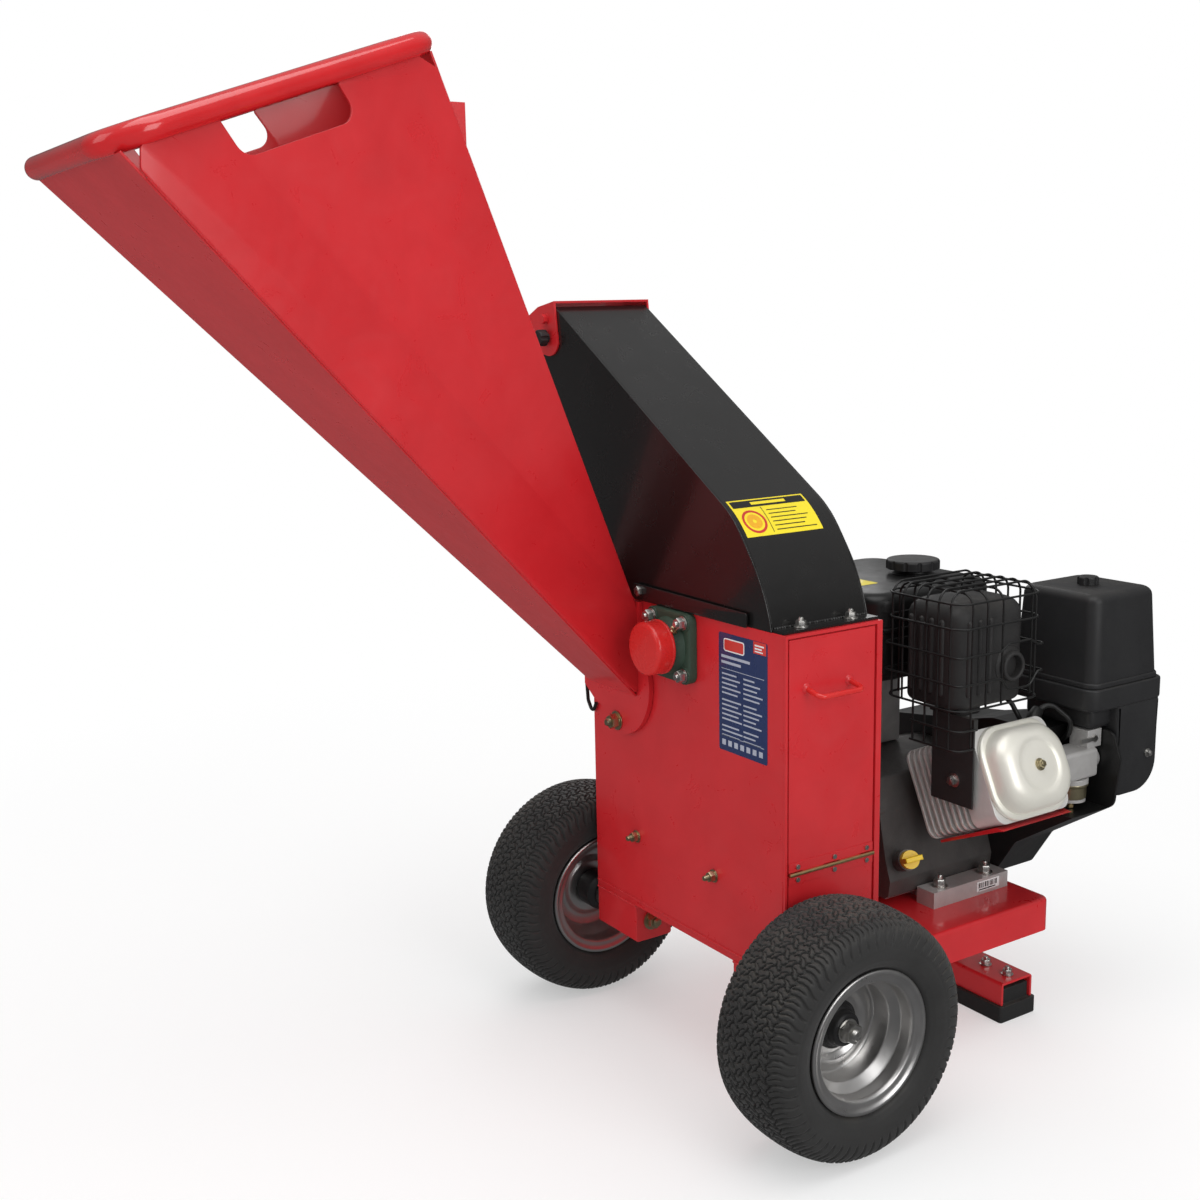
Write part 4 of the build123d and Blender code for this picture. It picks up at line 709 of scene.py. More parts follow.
def grease_nipple():
    axis = Vector((0.45, -0.62, 0.64)).normalized()
    seat = Vector((ROTOR_X + 26.5, FRONT_Y - 21, ROTOR_Z + 24))
    hex_height = 5
    nose = [(0, 0), (2.2, 0), (2.2, 4), (3.2, 5.2), (2.2, 7.2), (1.2, 8), (0, 8)]
    build("grease_nipple",
          merge(hexagon(seat, axis, 8, hex_height),
                turned(nose, seat + axis * hex_height, axis, 20, 0.4, 2)),
          YELLOW_ZINC, slot="zinc")


for bearing_face in BEARING_FACES:
    bearing(*bearing_face)
front_bearing_cap()
grease_nipple()

# ------------------------------------------------------ door, hinge and handle

# hinge pin axis and radius, and where the knuckles begin, in metres from the axle datum
PIN_X, PIN_Z, PIN_RADIUS, KNUCKLE_X = 0.2207, 0.339, 0.0027, 0.2197
PULL_YS, PULL_Z = (6, 76), 576


def hinge_leaf(node):
    """Red leaf with brass near the pin axis and zinc further out."""
    mesh = from_cad(node, RED, 0.25).data
    mesh.materials.append(BRASS)
    mesh.materials.append(ZINC)
    for face in mesh.polygons:
        x, z = face.center.x - OFFSET.x, face.center.z
        if math.hypot(x - PIN_X, z - PIN_Z) < PIN_RADIUS:
            face.material_index = 1
        elif x > KNUCKLE_X:
            face.material_index = 2


def door_pull():
    near_y, far_y = PULL_YS
    path = round_path([(217.6, near_y, PULL_Z), (245, near_y, PULL_Z - 6),
                       (245, far_y, PULL_Z - 6), (217.6, far_y, PULL_Z)], 8, steps=10)
    build("door_pull", tube(path, 3.5, sides=20), RED_PLASTIC, body="door", angle=50,
          slot="red_paint", replaces=("door_handle",))
    foot = [(0, -0.4), (7.5, -0.4), (6.6, 1.1), (4.4, 2.8), (3.2, 3.2), (0, 3.2)]
    for k, y in enumerate(PULL_YS):
        build(f"door_pull_foot_{k}", turned(foot, (218.3, y, PULL_Z), X, 28, 0.5), RED,
              body="door", slot="red_paint")


from_cad("access_door", RED, 0.9, 3)
hinge_leaf("hinge_fixed_leaf")
hinge_leaf("hinge_moving_leaf")
door_pull()

# ---------------------------------------------------------------------- hopper

# lower and upper corner of each side at the throat and at the mouth; near is the +X side
THROAT = {"near": (Vector((-91, -36, 510)), Vector((-91, -36, 632))),
          "far": (Vector((-210, -36, 510)), Vector((-210, -36, 632)))}
MOUTH = {"near": (Vector((75, -735, 1195)), Vector((-15, -355, 1325))),
         "far": (Vector((-250, -735, 1195)), Vector((-228, -355, 1325)))}
mouth_low, mouth_high = MOUTH["near"]
MOUTH_SLOPE = Vector((0, mouth_high.y - mouth_low.y, mouth_high.z - mouth_low.z)).normalized()
MOUTH_NORMAL = Vector((0.0, -MOUTH_SLOPE.z, MOUTH_SLOPE.y))
RIM_LIFT = 16
# side, lower (0) or upper (1) corner, shift in x, shift up the slope
RIM_CORNERS = (("near", 0, 6, -11), ("near", 1, 3, 5), ("far", 1, -3, 5), ("far", 0, -6, -11))
SHEET_REACH = 1.006                   # the sheets run slightly past the mouth
SHEET_MOUTH = {side: [t.lerp(m, SHEET_REACH) for t, m in zip(THROAT[side], MOUTH[side])]
               for side in THROAT}
TABS = (0.13, 0.22, 0.72, 0.81)       # tab centres as shares of the mouth edge
NOTCH_START, NOTCH_END, NOTCH_DEPTH = 0.28, 0.66, 46


def hopper_panel(side, outward, replaces):
    """Side sheet with a notch at the mouth and tabs up to the rim. Returns its normal."""
    name = "hopper_panel_" + side
    (t0, t1), (m0, m1) = THROAT[side], SHEET_MOUTH[side]
    normal = (m0 - t0).cross(t1 - t0).normalized()
    if normal.x * outward < 0:
        normal = -normal
    x = (m0 - t0).normalized()
    y = normal.cross(x)

    def flat(points):
        return [((p - t0).dot(x), (p - t0).dot(y)) for p in points]

    down = (t0.lerp(t1, 0.5) - m0.lerp(m1, 0.5)).normalized()
    notch0, notch1 = m0.lerp(m1, NOTCH_START), m0.lerp(m1, NOTCH_END)
    corners = [t0, t0.lerp(m0, 0.975), m0.lerp(m1, 0.05), notch0,
               notch0 + down * NOTCH_DEPTH, notch1 + down * NOTCH_DEPTH, notch1,
               m0.lerp(m1, 0.95), t1.lerp(m1, 0.975), t1]
    outline = round_outline(flat(corners), [4, 8, 8, 4, 22, 22, 4, 8, 8, 4], 10)
    plate(name, outline, (t0, x, y), 3.0, RED, 0.7, body="hopper", slot="red_paint",
          replaces=replaces)
    for k, t in enumerate(TABS):
        c0, c1 = m0.lerp(m1, t - 0.022), m0.lerp(m1, t + 0.022)
        tab = [c0 + down * 3, c1 + down * 3, c1 + MOUTH_NORMAL * 9, c0 + MOUTH_NORMAL * 9]
        plate(f"{name}_tab{k}", round_outline(flat(tab), 2.0, 3), (t0 + normal * 0.05, x, y),
              2.9, RED, 0.6, body="hopper", slot="red_paint")
    return normal


def rim_bar():
    corners = [MOUTH[side][end] + MOUTH_NORMAL * RIM_LIFT + MOUTH_SLOPE * up + X * dx
               for side, end, dx, up in RIM_CORNERS]
    build("rim_bar", tube(round_path(corners, 45, cyclic=True, steps=18), 13.2, True, 48),
          RED_TUBE, body="hopper", angle=50, slot="red_paint", replaces=("rim_tube",))


def hopper_welds(normals):
    beads = []
    for i, (t, m) in enumerate(zip(THROAT["near"], SHEET_MOUTH["near"])):
        beads.append(weld([t.lerp(m, 0.02) + normals["near"], t.lerp(m, 0.965)
                           + normals["near"]], 1.5, seed=5 + i, step=4.5))
    for i, side in enumerate(("near", "far")):
        m0, m1 = SHEET_MOUTH[side]
        lift = normals[side] * 2.6 + MOUTH_NORMAL * 2.5
        for t in TABS:
            beads.append(weld([m0.lerp(m1, t - 0.026) + lift, m0.lerp(m1, t + 0.026) + lift],
                              3.0, seed=20 + i, step=4.4))
    build("hopper_weld_beads", merge(*beads), RED, body="hopper", slot="red_paint")


panel_normals = {"near": hopper_panel("near", 1, ("hopper_side_panels",)),
                 "far": hopper_panel("far", -1, ())}
from_cad("hopper_floor_back", RED, 0.7)
from_cad("hopper_flange", RED, 1.0)
rim_bar()
hopper_welds(panel_normals)

# ----------------------------------------------------------------------- chute

# knots of the bend in the chute's upper outline: place and tangent
CHUTE_KNOTS = ((Vector((191, 0, 646)), Vector((-0.22, 0, 0.975)) * 95),
               (Vector((153, 0, 731)), Vector((-0.58, 0, 0.81)) * 90),
               (Vector((96, 0, 793.7)), Vector((-0.845, 0, 0.535)) * 88))
CHUTE_OUTLET = Vector((-297, 0, 1043))
BEND_END = CHUTE_KNOTS[-1][0]
SPAN_STEPS = 20


def chute_outline():
    """Upper outline at y = 0, from the base round the bend and straight to the outlet."""
    points = []
    for (a, a_tangent), (b, b_tangent) in zip(CHUTE_KNOTS, CHUTE_KNOTS[1:]):
        for j in range(SPAN_STEPS):
            t = j / SPAN_STEPS
            points.append((2 * t**3 - 3 * t**2 + 1) * a + (t**3 - 2 * t**2 + t) * a_tangent
                          + (-2 * t**3 + 3 * t**2) * b + (t**3 - t**2) * b_tangent)
    return points + [BEND_END.lerp(CHUTE_OUTLET, k / 20) for k in range(21)]


def chute_welds(outline):
    beads = [weld([(p.x - 0.4, y, p.z - 0.3) for p in outline[:34]], 1.15, seed, 3.4)
             for y, seed in ((-27.4, 31), (130.4, 32))]
    beads.append(weld([(191.5, -24, 650.4), (191.5, 127, 650.4)], 2.0, seed=33, step=4.0))
    build("chute_weld_beads", merge(*beads), BLACK, slot="black_paint")


from_cad("chute_body", BLACK, 0.6)
chute_wrapper = from_cad("chute_wrapper", BLACK, 0.6, smooth=30)
from_cad("deflector_hood", RED, 0.5)
from_cad("deflector_knob_front", PLASTIC, 1.0)
from_cad("deflector_knob_rear", PLASTIC, 1.0)
plate("chute_front_lip",
      round_outline([(-98, 645.5), (150, 645.5), (150, 664), (-98, 668)], 3, 4),
      ((0, -31.2, 0), X, Z), 3.0, BLACK, 0.7, slot="black_paint")
chute_line = chute_outline()
chute_welds(chute_line)

# ---------------------------------------------------------------------- wheels

WHEEL_X = 290.6
TYRE_RADIUS = 160.0                   # also the height of the axle
TYRE_HALF_WIDTH = 64
# outer half section from bead to crown: radius, distance from the wheel's middle plane
TYRE_HALF = [(92.6, 49.5), (95, 53.0), (99, 56.2), (106, 60), (115, 62.8), (124, 64),
             (134, 62.9), (142, 60.5), (148.6, 55.6), (153, 50), (156.3, 39), (158.6, 26),
             (159.7, 12), (TYRE_RADIUS, 0)]
TYRE_INSIDE = np.array([
    (90.0, -49.3), (78.2, -49.4), (78.2, -38), (96, -38), (112, -50), (126, -54), (140, -48),
    (148, 0), (140, 48), (126, 54), (112, 50), (96, 38), (78.2, 38), (78.2, 49.4),
    (90.0, 49.3)])
SECTION_POINTS, TURN_POINTS = 132, 1080
TREAD_PITCHES = 60
PITCH_LENGTH = 2 * np.pi * 158 / TREAD_PITCHES
GROOVE_LINES = [-46.5, -33.0, -20.0, -6.8, 6.8, 20.0, 33.0, 46.5]
GROOVE_WAVE = 2.6
GROOVE_DEPTH = 3.0

# radius, height outwards along the axle
RIM_PROFILE = [
    (90.5, 56.7), (92.4, 55.6), (92.6, 53.6), (91.5, 52.0), (84.5, 51.0), (80, 50.4),
    (77.6, 49.0), (77.6, 30), (66, 20), (66, -14), (77.6, -28), (77.6, -49.0), (80, -50.4),
    (84.5, -51.0), (91.5, -52.0), (92.6, -53.6), (92.4, -55.6), (90.5, -56.7), (88, -56.6),
    (84, -53.6), (76.5, -52.2), (74.4, -49), (74.4, -29), (62.8, -16), (62.8, -11),
    (52, -7.6), (47, -7.2), (40.5, -13), (24.2, -13), (24.2, -9.6), (38.8, -9.6),
    (45.5, -3.9), (52, -4.2), (60, -7.4), (62.8, -6.2), (62.8, 20.5), (74.4, 31), (74.4, 48),
    (76.5, 52.2), (84, 53.6), (88, 56.6)]
HUB_PROFILE = [
    (12.6, -52), (20, -52), (28, -44), (28, -14), (24.3, -13.4), (24.3, -9.0), (31.5, -8.8),
    (31.5, -5.0), (27.5, -3.2), (26.0, 1.0), (22.5, 2.0), (21.8, 11.5), (19.8, 14),
    (12.6, 14)]
VALVE_STEM = [(0, 0), (7.0, 0), (6.6, 4), (4.6, 7), (4.1, 16), (3.4, 18), (0, 18)]
VALVE_CAP = [(0, 17.5), (3.9, 17.5), (3.9, 26.5), (3.2, 28), (0, 28)]


def catmull_rom(points, steps):
    points = [np.array(p, float) for p in points]
    points = [2 * points[0] - points[1]] + points + [2 * points[-1] - points[-2]]
    out = []
    for a, b, c, d in zip(points, points[1:], points[2:], points[3:]):
        for j in range(steps):
            t = j / steps
            out.append(0.5 * (2 * b + (c - a) * t + (2 * a - 5 * b + 4 * c - d) * t**2
                              + (3 * b - a - 3 * c + d) * t**3))
    out.append(points[-2])
    return np.array(out)


def smoothstep(value, low, high):
    t = np.clip((value - low) / (high - low), 0, 1)
    return t * t * (3 - 2 * t)


def tyre_section():
    """Outer section from +x bead to -x bead: distance along it, (radius, x), normal."""
    section = catmull_rom(TYRE_HALF, 12)
    section = np.vstack([section, section[::-1][1:] * np.array([1, -1])])
    travel = np.r_[0, np.cumsum(np.hypot(*np.diff(section, axis=0).T))]
    # points lie closer together over the tread
    q = np.linspace(-1, 1, SECTION_POINTS)
    q = np.sign(q) * (0.74 * np.abs(q) + 0.26 * np.abs(q) ** 3)
    along = (q * 0.5 + 0.5) * travel[-1]
    r, x = np.interp(along, travel, section[:, 0]), np.interp(along, travel, section[:, 1])
    normal_r, normal_x = -np.gradient(x, along), np.gradient(r, along)
    length = np.hypot(normal_r, normal_x) * np.sign(normal_r[SECTION_POINTS // 2])
    return along, travel[-1], r, x, normal_r / length, normal_x / length


def tread_cuts(turn, across):
    """Groove amount, 0 on top to 1 at the floor; across is measured from the crown."""
    pitch = turn * TREAD_PITCHES / (2 * np.pi)
    groove = lambda distance, low, high: 1 - smoothstep(distance, low, high)
    from_cut = lambda bend: np.abs(((pitch + bend) % 1.0) - 0.5) * PITCH_LENGTH
    # neighbouring wavy grooves are half a pitch out of step
    lines = [line + GROOVE_WAVE * np.sin(2 * np.pi * (pitch + 0.5 * (i % 2)))
             for i, line in enumerate(GROOVE_LINES)]
    cuts = [groove(np.abs(across - line), 0.75, 1.65) for line in lines]
    # curved cuts between blocks, and a short blind sipe in each block
    for i, (low, high) in enumerate(zip(lines, lines[1:])):
        inside = (across > low - 0.4) & (across < high + 0.4)
        t = np.clip((across - low) / (high - low), 0, 1)
        lean = 1 if i % 2 else -1
        bend = 0.16 * np.sin(2 * np.pi * t) * lean + 0.5 * (i % 2) + 0.20 * (t - 0.5) * lean
        cuts.append(np.where(inside, groove(from_cut(bend), 0.8, 1.7), 0))
        cuts.append(np.where(inside & (np.abs(t - 0.5) < 0.30),
                             0.75 * groove(from_cut(bend + 0.5), 0.45, 1.1), 0))
    # long curved shoulder lugs running out down the side wall
    for side in (-1, 1):
        out = side * across
        zone = smoothstep(out, 46.8, 48.0) * groove(out, 79, 84)
        t = np.clip((out - 47) / 34, 0, 1)
        bend = 0.22 * np.sin(np.pi * t * 1.6) + 0.25 * side
        cuts.append(zone * groove(from_cut(bend), 1.25, 2.5))
        cuts.append(0.8 * zone * groove(out, 62, 66) * groove(from_cut(bend + 0.5), 0.6, 1.4))
    return np.max(np.array(cuts), axis=0)


def tyre(side, sign):
    along, length, r, x, normal_r, normal_x = tyre_section()
    turn = np.linspace(0, 2 * np.pi, TURN_POINTS, endpoint=False)
    turns, across = np.meshgrid(turn, along - length / 2, indexing="ij")
    out = np.abs(across)
    height = -GROOVE_DEPTH * (1 - 0.42 * smoothstep(out, 52, 80)) * tread_cuts(turns, across)
    # rings round the side wall: distance from the crown, width, height
    for place_out, width, rise in ((86.5, 1.6, -0.7), (103.5, 1.3, 0.55),
                                   (length / 2 - 9.5, 1.8, 0.9), (length / 2 - 4.0, 1.2, -0.6)):
        height += rise * np.exp(-((out - place_out) / width) ** 2)
    rs = np.minimum(r + normal_r * height, TYRE_RADIUS)
    xs = np.clip(x + normal_x * height, -TYRE_HALF_WIDTH, TYRE_HALF_WIDTH)
    # the outer section runs from +x to -x, the inside returns
    rs = np.hstack([rs, np.repeat(TYRE_INSIDE[None, :, 0], TURN_POINTS, 0)])
    xs = np.hstack([xs, np.repeat(TYRE_INSIDE[None, :, 1], TURN_POINTS, 0)])
    size = rs.shape[1]
    points = np.stack([sign * WHEEL_X + xs, rs * np.cos(turn)[:, None],
                       TYRE_RADIUS + rs * np.sin(turn)[:, None]], -1) * MM
    i, j = np.arange(TURN_POINTS)[:, None], np.arange(size)[None, :]
    i_next, j_next = (i + 1) % TURN_POINTS, (j + 1) % size
    faces = np.stack([i * size + j, i_next * size + j, i_next * size + j_next,
                      i * size + j_next], -1).reshape(-1, 4)
    name = "tread_tyre_" + side
    mesh = bpy.data.meshes.new(name)
    mesh.vertices.add(TURN_POINTS * size)
    mesh.vertices.foreach_set("co", points.astype(np.float32).ravel())
    mesh.loops.add(faces.size)
    mesh.loops.foreach_set("vertex_index", faces.astype(np.int32).ravel())
    mesh.polygons.add(len(faces))
    mesh.polygons.foreach_set("loop_start", (np.arange(len(faces)) * 4).astype(np.int32))
    mesh.update(calc_edges=True)
    mesh.validate()
    clean(mesh)
    node = "tyre_" + side
    place(name, mesh, TYRE, body=BODY_OF[node], slot="tyre_rubber", replaces=(node,),
          angle=60)


def wheel(side, sign):
    """Tyre, rolled steel rim with a dished disc, valve and ribbed hub."""
    body = "wheel_" + side
    axis, centre = X * sign, Vector((sign * WHEEL_X, 0, TYRE_RADIUS))
    tyre(side, sign)
    build("steel_rim_" + side, turned(RIM_PROFILE, centre, axis, 144, 2.2), RIM, body=body,
          slot="rim_silver", replaces=("rim_" + side,), angle=50)
    valve = centre + Vector((sign * -6, 0, 55))
    build("valve_stem_" + side, merge(turned(VALVE_STEM, valve, axis, 24, 0.8),
                                      turned(VALVE_CAP, valve, axis, 18, 0.5)),
          HUB_PLASTIC, body=body, slot="rubber_black")
    build("wheel_hub_" + side, turned(HUB_PROFILE, centre, axis, 64, 0.9), HUB_PLASTIC,
          body=body, slot="black_plastic", replaces=("hub_" + side,))


wheel("right", 1)
wheel("left", -1)

# ------------------------------------------------------------------- fasteners


def fasteners():
    # rows: seat, axis, size across flats, head height, washer radius, stud length
    zinc = [((x, y, 214), Z, 16, 9, 12, 6) for x in (134, -62) for y in (332, 424)]
    yellow = []
    for s in (-1, 1):
        zinc += [((s * x, 443, 60), Z, 13, 6, 9, 4) for x in (125, 167)]
        zinc.append(((s * 304.8, 0, TYRE_RADIUS), X * s, 24, 12, 15.5, 5))
        yellow.append(((s * 114, 0, TYRE_RADIUS), X * -s, 19, 9, 15, 5))
    for x, z in FLANGE_BOLTS:
        zinc.append(((x, FRONT_Y - PAD_HEIGHT, z), -Y, 15, 8, 9.5, 3.5))
        zinc.append(((x, REAR_Y + PAD_HEIGHT, z), Y, 15, 8, 9.5))
    zinc += [((202, y, 650), Z, 12, 6, 9, 4) for y in (10, 92)]
    yellow += [((x, FRONT_Y, z), -Y, 13, 7, 9, 8) for x, z in ((-108, 296), (73, 294))]
    zinc.append(((-84, -31.2, 658.5), -Y, 12, 5, 8))
    zinc.append(((189, 298, 394), -Y, 12, 6, 10))
    yellow.append(((-142, -36.3, 462), -Y, 19, 10, 14, 6))
    spacer = revolve([(0, 0), (6, 0), (6, 10), (0, 10)], (-142, -38, 462), Y, 24)
    build("zinc_fasteners", merge(*(bolt(*row) for row in zinc), spacer), ZINC,
          slot="zinc", replaces=("hex_bolts",), angle=30)
    build("yellow_zinc_fasteners", merge(*(bolt(*row) for row in yellow)), YELLOW_ZINC,
          slot="zinc", angle=30)


def frame_welds():
    # rows: start, end, radius, seed, step
    beads = [((213.6, -27.6, 192), (213.6, -27.6, 330), 1.2, 41, 4.0),
             ((-213, -28.2, 199), (213, -28.2, 199), 1.8, 42, 4.4)]
    for s in (-1, 1):
        beads += [((s * 114, -28.2, 187.5), (s * 213, -28.2, 187.5), 2.0, 44 + s, 4.0),
                  ((s * 113.6, -26, 187.2), (s * 113.6, 33, 187.2), 2.2, 47 + s, 4.0)]
    beads += [((-210, 131.6, 188.5), (210, 131.6, 188.5), 2.2, 50, 4.4),
              ((-44, 416, 61), (44, 416, 61), 2.2, 51, 4.4)]
    build("frame_weld_beads", merge(*(weld([a, b], *rest) for a, b, *rest in beads)), RED,
          slot="red_paint")


fasteners()
frame_welds()

# ---------------------------------------------------------------------- engine

CRANK_X, CRANK_Z = 8.0, 300.0
TILT = math.radians(25)               # cylinder axis above +X
CYLINDER = Vector((math.cos(TILT), 0, math.sin(TILT)))
CYLINDER_UP = Vector((-math.sin(TILT), 0, math.cos(TILT)))
COVER_SEAT = 250                      # rocker cover's base, out along the cylinder
# rocker cover: height, width, depth, corner radius
ROCKER_SECTIONS = (
    (0, 143, 129, 40), (0.8, 146, 132, 42), (5.2, 146, 132, 42), (7.0, 143, 129, 40),
    (7.4, 133, 119, 39), (12, 131, 117, 40), (22, 128, 114, 42), (29, 120, 106, 42),
    (33.5, 108, 96, 42), (36, 96, 88, 42), (36.8, 84, 82, 41), (36.9, 76, 76, 37.9),
    (34.6, 70, 70, 34.9), (34.0, 66, 66, 32.9), (34.6, 52, 52, 25.9), (34.9, 20, 20, 9.9))


def on_cylinder(distance, y=380.0, up=0.0):
    return Vector((CRANK_X, y, CRANK_Z)) + CYLINDER * distance + CYLINDER_UP * up


def crankcase():
    """Casting in a dark colour, partly painted shade for the shadow it sits in, with a bare
    alloy foot. Limits are in metres from the axle datum.
    """
    mesh = from_cad("crankcase", CASE_PAINTED_SHADE, 1.2, 3, slot="cast_alloy").data
    mesh.materials.append(CAST)
    for face in mesh.polygons:
        x, z = face.center.x - OFFSET.x, face.center.z
        if z < 0.2155 and (x > 0.114 or x < -0.044 or z < 0.207):
            face.material_index = 1


def rocker_cover():
    """Rounded square pressing with a round dimple and a centre bolt."""
    sections = [(height, loft_ring(*ring)) for height, *ring in ROCKER_SECTIONS]
    build("rocker_cover", loft(sections, (on_cylinder(COVER_SEAT), Y, CYLINDER_UP)), GOLD,
          slot="gold_steel", replaces=("valve_cover",), angle=60)
    build("rocker_cover_bolt", bolt(on_cylinder(COVER_SEAT + 34.8), CYLINDER, 10, 5, 8.5),
          YELLOW_ZINC, slot="zinc")


crankcase()
from_cad_table((
    ("dipstick", YELLOW, 0.6), ("cylinder_block", FINS, 0.7), ("lower_shroud", RED, 0.5),
    ("heat_shield", MUFFLER, 0.5), ("carburetor", CAST, 1.0),
    ("blower_housing", GLOSS_BLACK, 2.0, 3), ("recoil_cover", PLASTIC, 1.0),
    ("recoil_handle", PLASTIC, 0.6), ("throttle_lever", ZINC, 0.4),
    ("choke_lever", ZINC, 0.3), ("fuel_cap", PLASTIC, 0.8), ("air_filter_knob", PLASTIC, 0.6),
))
rocker_cover()

# ------------------------------------------------------- muffler and its guard

OUTLET = (205, 381, 547)
OUTLET_PIPE = [(15.2, -8), (21, -8), (21, 10.2), (19.5, 12), (16.8, 12), (15.2, 10.8)]
OUTLET_COLLAR = [(16, -1.5), (27.5, -1.5), (26, 1.2), (21.4, 3.2), (16, 3.2)]
OUTLET_BORE = [(0, -6.2), (15.6, -6.2), (15.6, -5.2), (0, -5.2)]
RIB_FOOT, RIB_TOP = 512, 102          # z of the rib's foot, height where its dome begins


def rib(x, y, radius):
    """Upright round bar with domed ends."""
    profile = [(0, 0)]
    profile += [(radius * math.sin(t), radius - radius * math.cos(t))
                for t in np.linspace(0.2, math.pi / 2, 5)]
    profile += [(radius * math.cos(t), RIB_TOP + radius * math.sin(t))
                for t in np.linspace(0.0, 1.37, 5)]
    profile.append((0, RIB_TOP + radius))
    return revolve(profile, (x, y, RIB_FOOT), Z, 18)


def muffler():
    soft_box("muffler_shell", (98, 205), (282, 418), (494, 640), (24, 10, 24), MUFFLER,
             slot="muffler_black", replaces=("muffler",), angle=60)
    ribs = [rib(x, 283, 4.6) for x in (118, 137, 156, 175)]
    ribs += [rib(204, y, 4.4) for y in (304, 324, 344)]
    build("muffler_ribs_and_outlet",
          merge(*ribs, turned(OUTLET_PIPE, OUTLET, X, 48),
                turned(OUTLET_COLLAR, OUTLET, X, 48, 0.8)),
          MUFFLER, slot="muffler_black", angle=50)
    build("muffler_bore", turned(OUTLET_BORE, OUTLET, X, 32, 0.3), CABLE,
          slot="muffler_black")
    block("exhaust_duct", (120, 330, 470), (165, 375, 499), 6, MUFFLER, slot="muffler_black")


WIRE = 1.6
GUARD_X, GUARD_Y = (80.0, 226.0), (263.0, 431.0)
GUARD_FOOT, SKIRT_FOOT = 500, 446     # lower ends of the short and of the long wires
RING_LEVELS = (647, 613, 501)
# level of a ring, and its level where it steps past the outlet
STEPPED_RINGS = ((575, 584), (537, 519))


def wire_guard():
    """Rings round the muffler and hoops over it, the hoops inside the rings."""
    x0, x1 = GUARD_X[0] + WIRE, GUARD_X[1] - WIRE
    y0, y1 = GUARD_Y[0] + WIRE, GUARD_Y[1] - WIRE
    wires = []
    for z in RING_LEVELS:
        wires.append(tube(round_path([(x0, y0, z), (x1, y0, z), (x1, y1, z), (x0, y1, z)],
                                     24, cyclic=True), WIRE, True))
    for z, step_z in STEPPED_RINGS:
        corners = [(x0, y0, z), (x1, y0, z), (x1, 345, z), (x1, 360, step_z),
                   (x1, 402, step_z), (x1, 417, z), (x1, y1, z), (x0, y1, z)]
        wires.append(tube(round_path(corners, 10, cyclic=True, steps=6), WIRE, True))
    for z in (474, 447):
        wires.append(tube(round_path([(136, y0, z), (x1, y0, z), (x1, 297, z)], 22), WIRE))
    x0, x1 = GUARD_X[0] + 3 * WIRE, GUARD_X[1] - 3 * WIRE
    y0, y1 = GUARD_Y[0] + 3 * WIRE, GUARD_Y[1] - 3 * WIRE
    top = 661.4
    for x in (96, 116, 138, 160, 182, 204):
        foot = SKIRT_FOOT if x > 130 else GUARD_FOOT
        wires.append(tube(round_path([(x, y0, foot), (x, y0, top), (x, y1, top),
                                      (x, y1, GUARD_FOOT)], 20, steps=10), WIRE))
    top -= 2 * WIRE
    for y in (292, 320, 350, 414):
        foot = SKIRT_FOOT if y < 300 else GUARD_FOOT
        wires.append(tube(round_path([(x0, y, GUARD_FOOT), (x0, y, top), (x1, y, top),
                                      (x1, y, foot)], 20, steps=10), WIRE))
    build("wire_guard", merge(*wires), GUARD_BLACK, slot="muffler_black",
          replaces=("muffler_guard",), angle=60)


muffler()
wire_guard()

# ------------------------------------------- fuel tank, air filter, carburettor

TANK_TOP = 638
FLOAT_BOWL = [(0, 331), (5, 331), (5, 337.5), (14, 338), (21.4, 343), (21.8, 360),
              (24.2, 361.5), (24.2, 365), (22, 366.2), (0, 366.2)]


def fuel_tank():
    """Two pressed halves meeting in a seam, with neck, saddle and brackets."""
    soft_box("tank_shell", (-186, 74), (256, 500), (508, TANK_TOP), (36, 22, 16),
             GLOSS_BLACK, slot="gloss_black", replaces=("fuel_tank",), angle=60)
    soft_box("tank_seam", (-189, 77), (253, 503), (583, 589), (38, 1.2, 1.2), GLOSS_BLACK,
             slot="gloss_black")
    neck = [(0, 618), (31, 618), (31, 637), (28.5, 641), (28, 644), (0, 644)]
    build("tank_neck", turned(neck, (-30, 430, 0), Z, 64, 1.2), GLOSS_BLACK,
          slot="gloss_black")
    block("tank_saddle", (-80, 330, 385), (-20, 400, 511), 3, CAST, slot="gloss_black")
    for k, x in enumerate((-150, 40)):
        block(f"tank_bracket_{k}", (x - 16, 266, 470), (x + 16, 274, 513), 2, GLOSS_BLACK,
              slot="gloss_black")


def air_filter():
    soft_box("filter_tray", (103, 263), (488, 648), (470, 503), (20, 6, 3), PLASTIC,
             slot="black_plastic", replaces=("air_filter_base",), angle=60)
    plate("filter_lower_shell",
          round_outline([(546, 474), (546, 338), (636, 338), (636, 474)], [2, 14, 44, 2], 10),
          ((190, 0, 0), Y, Z), 72, PLASTIC, 5, slot="black_plastic", angle=50)
    build("filter_shell_screw", bolt((262, 614, 393), X, 8, 3.5, 6.5), ZINC, slot="zinc")
    block("filter_elbow", (128, 505, 440), (248, 560, 474), 9, PLASTIC, slot="black_plastic")
    soft_box("filter_cover", (108, 258), (494, 640), (503, 635), (18, 2.0, 12), PLASTIC,
             taper=14.0, slot="black_plastic", replaces=("air_filter_cover",), angle=60)
    soft_box("filter_cover_rim", (106, 260), (492, 642), (503.4, 511), (20, 1.0, 2.5),
             PLASTIC, slot="black_plastic", angle=60)


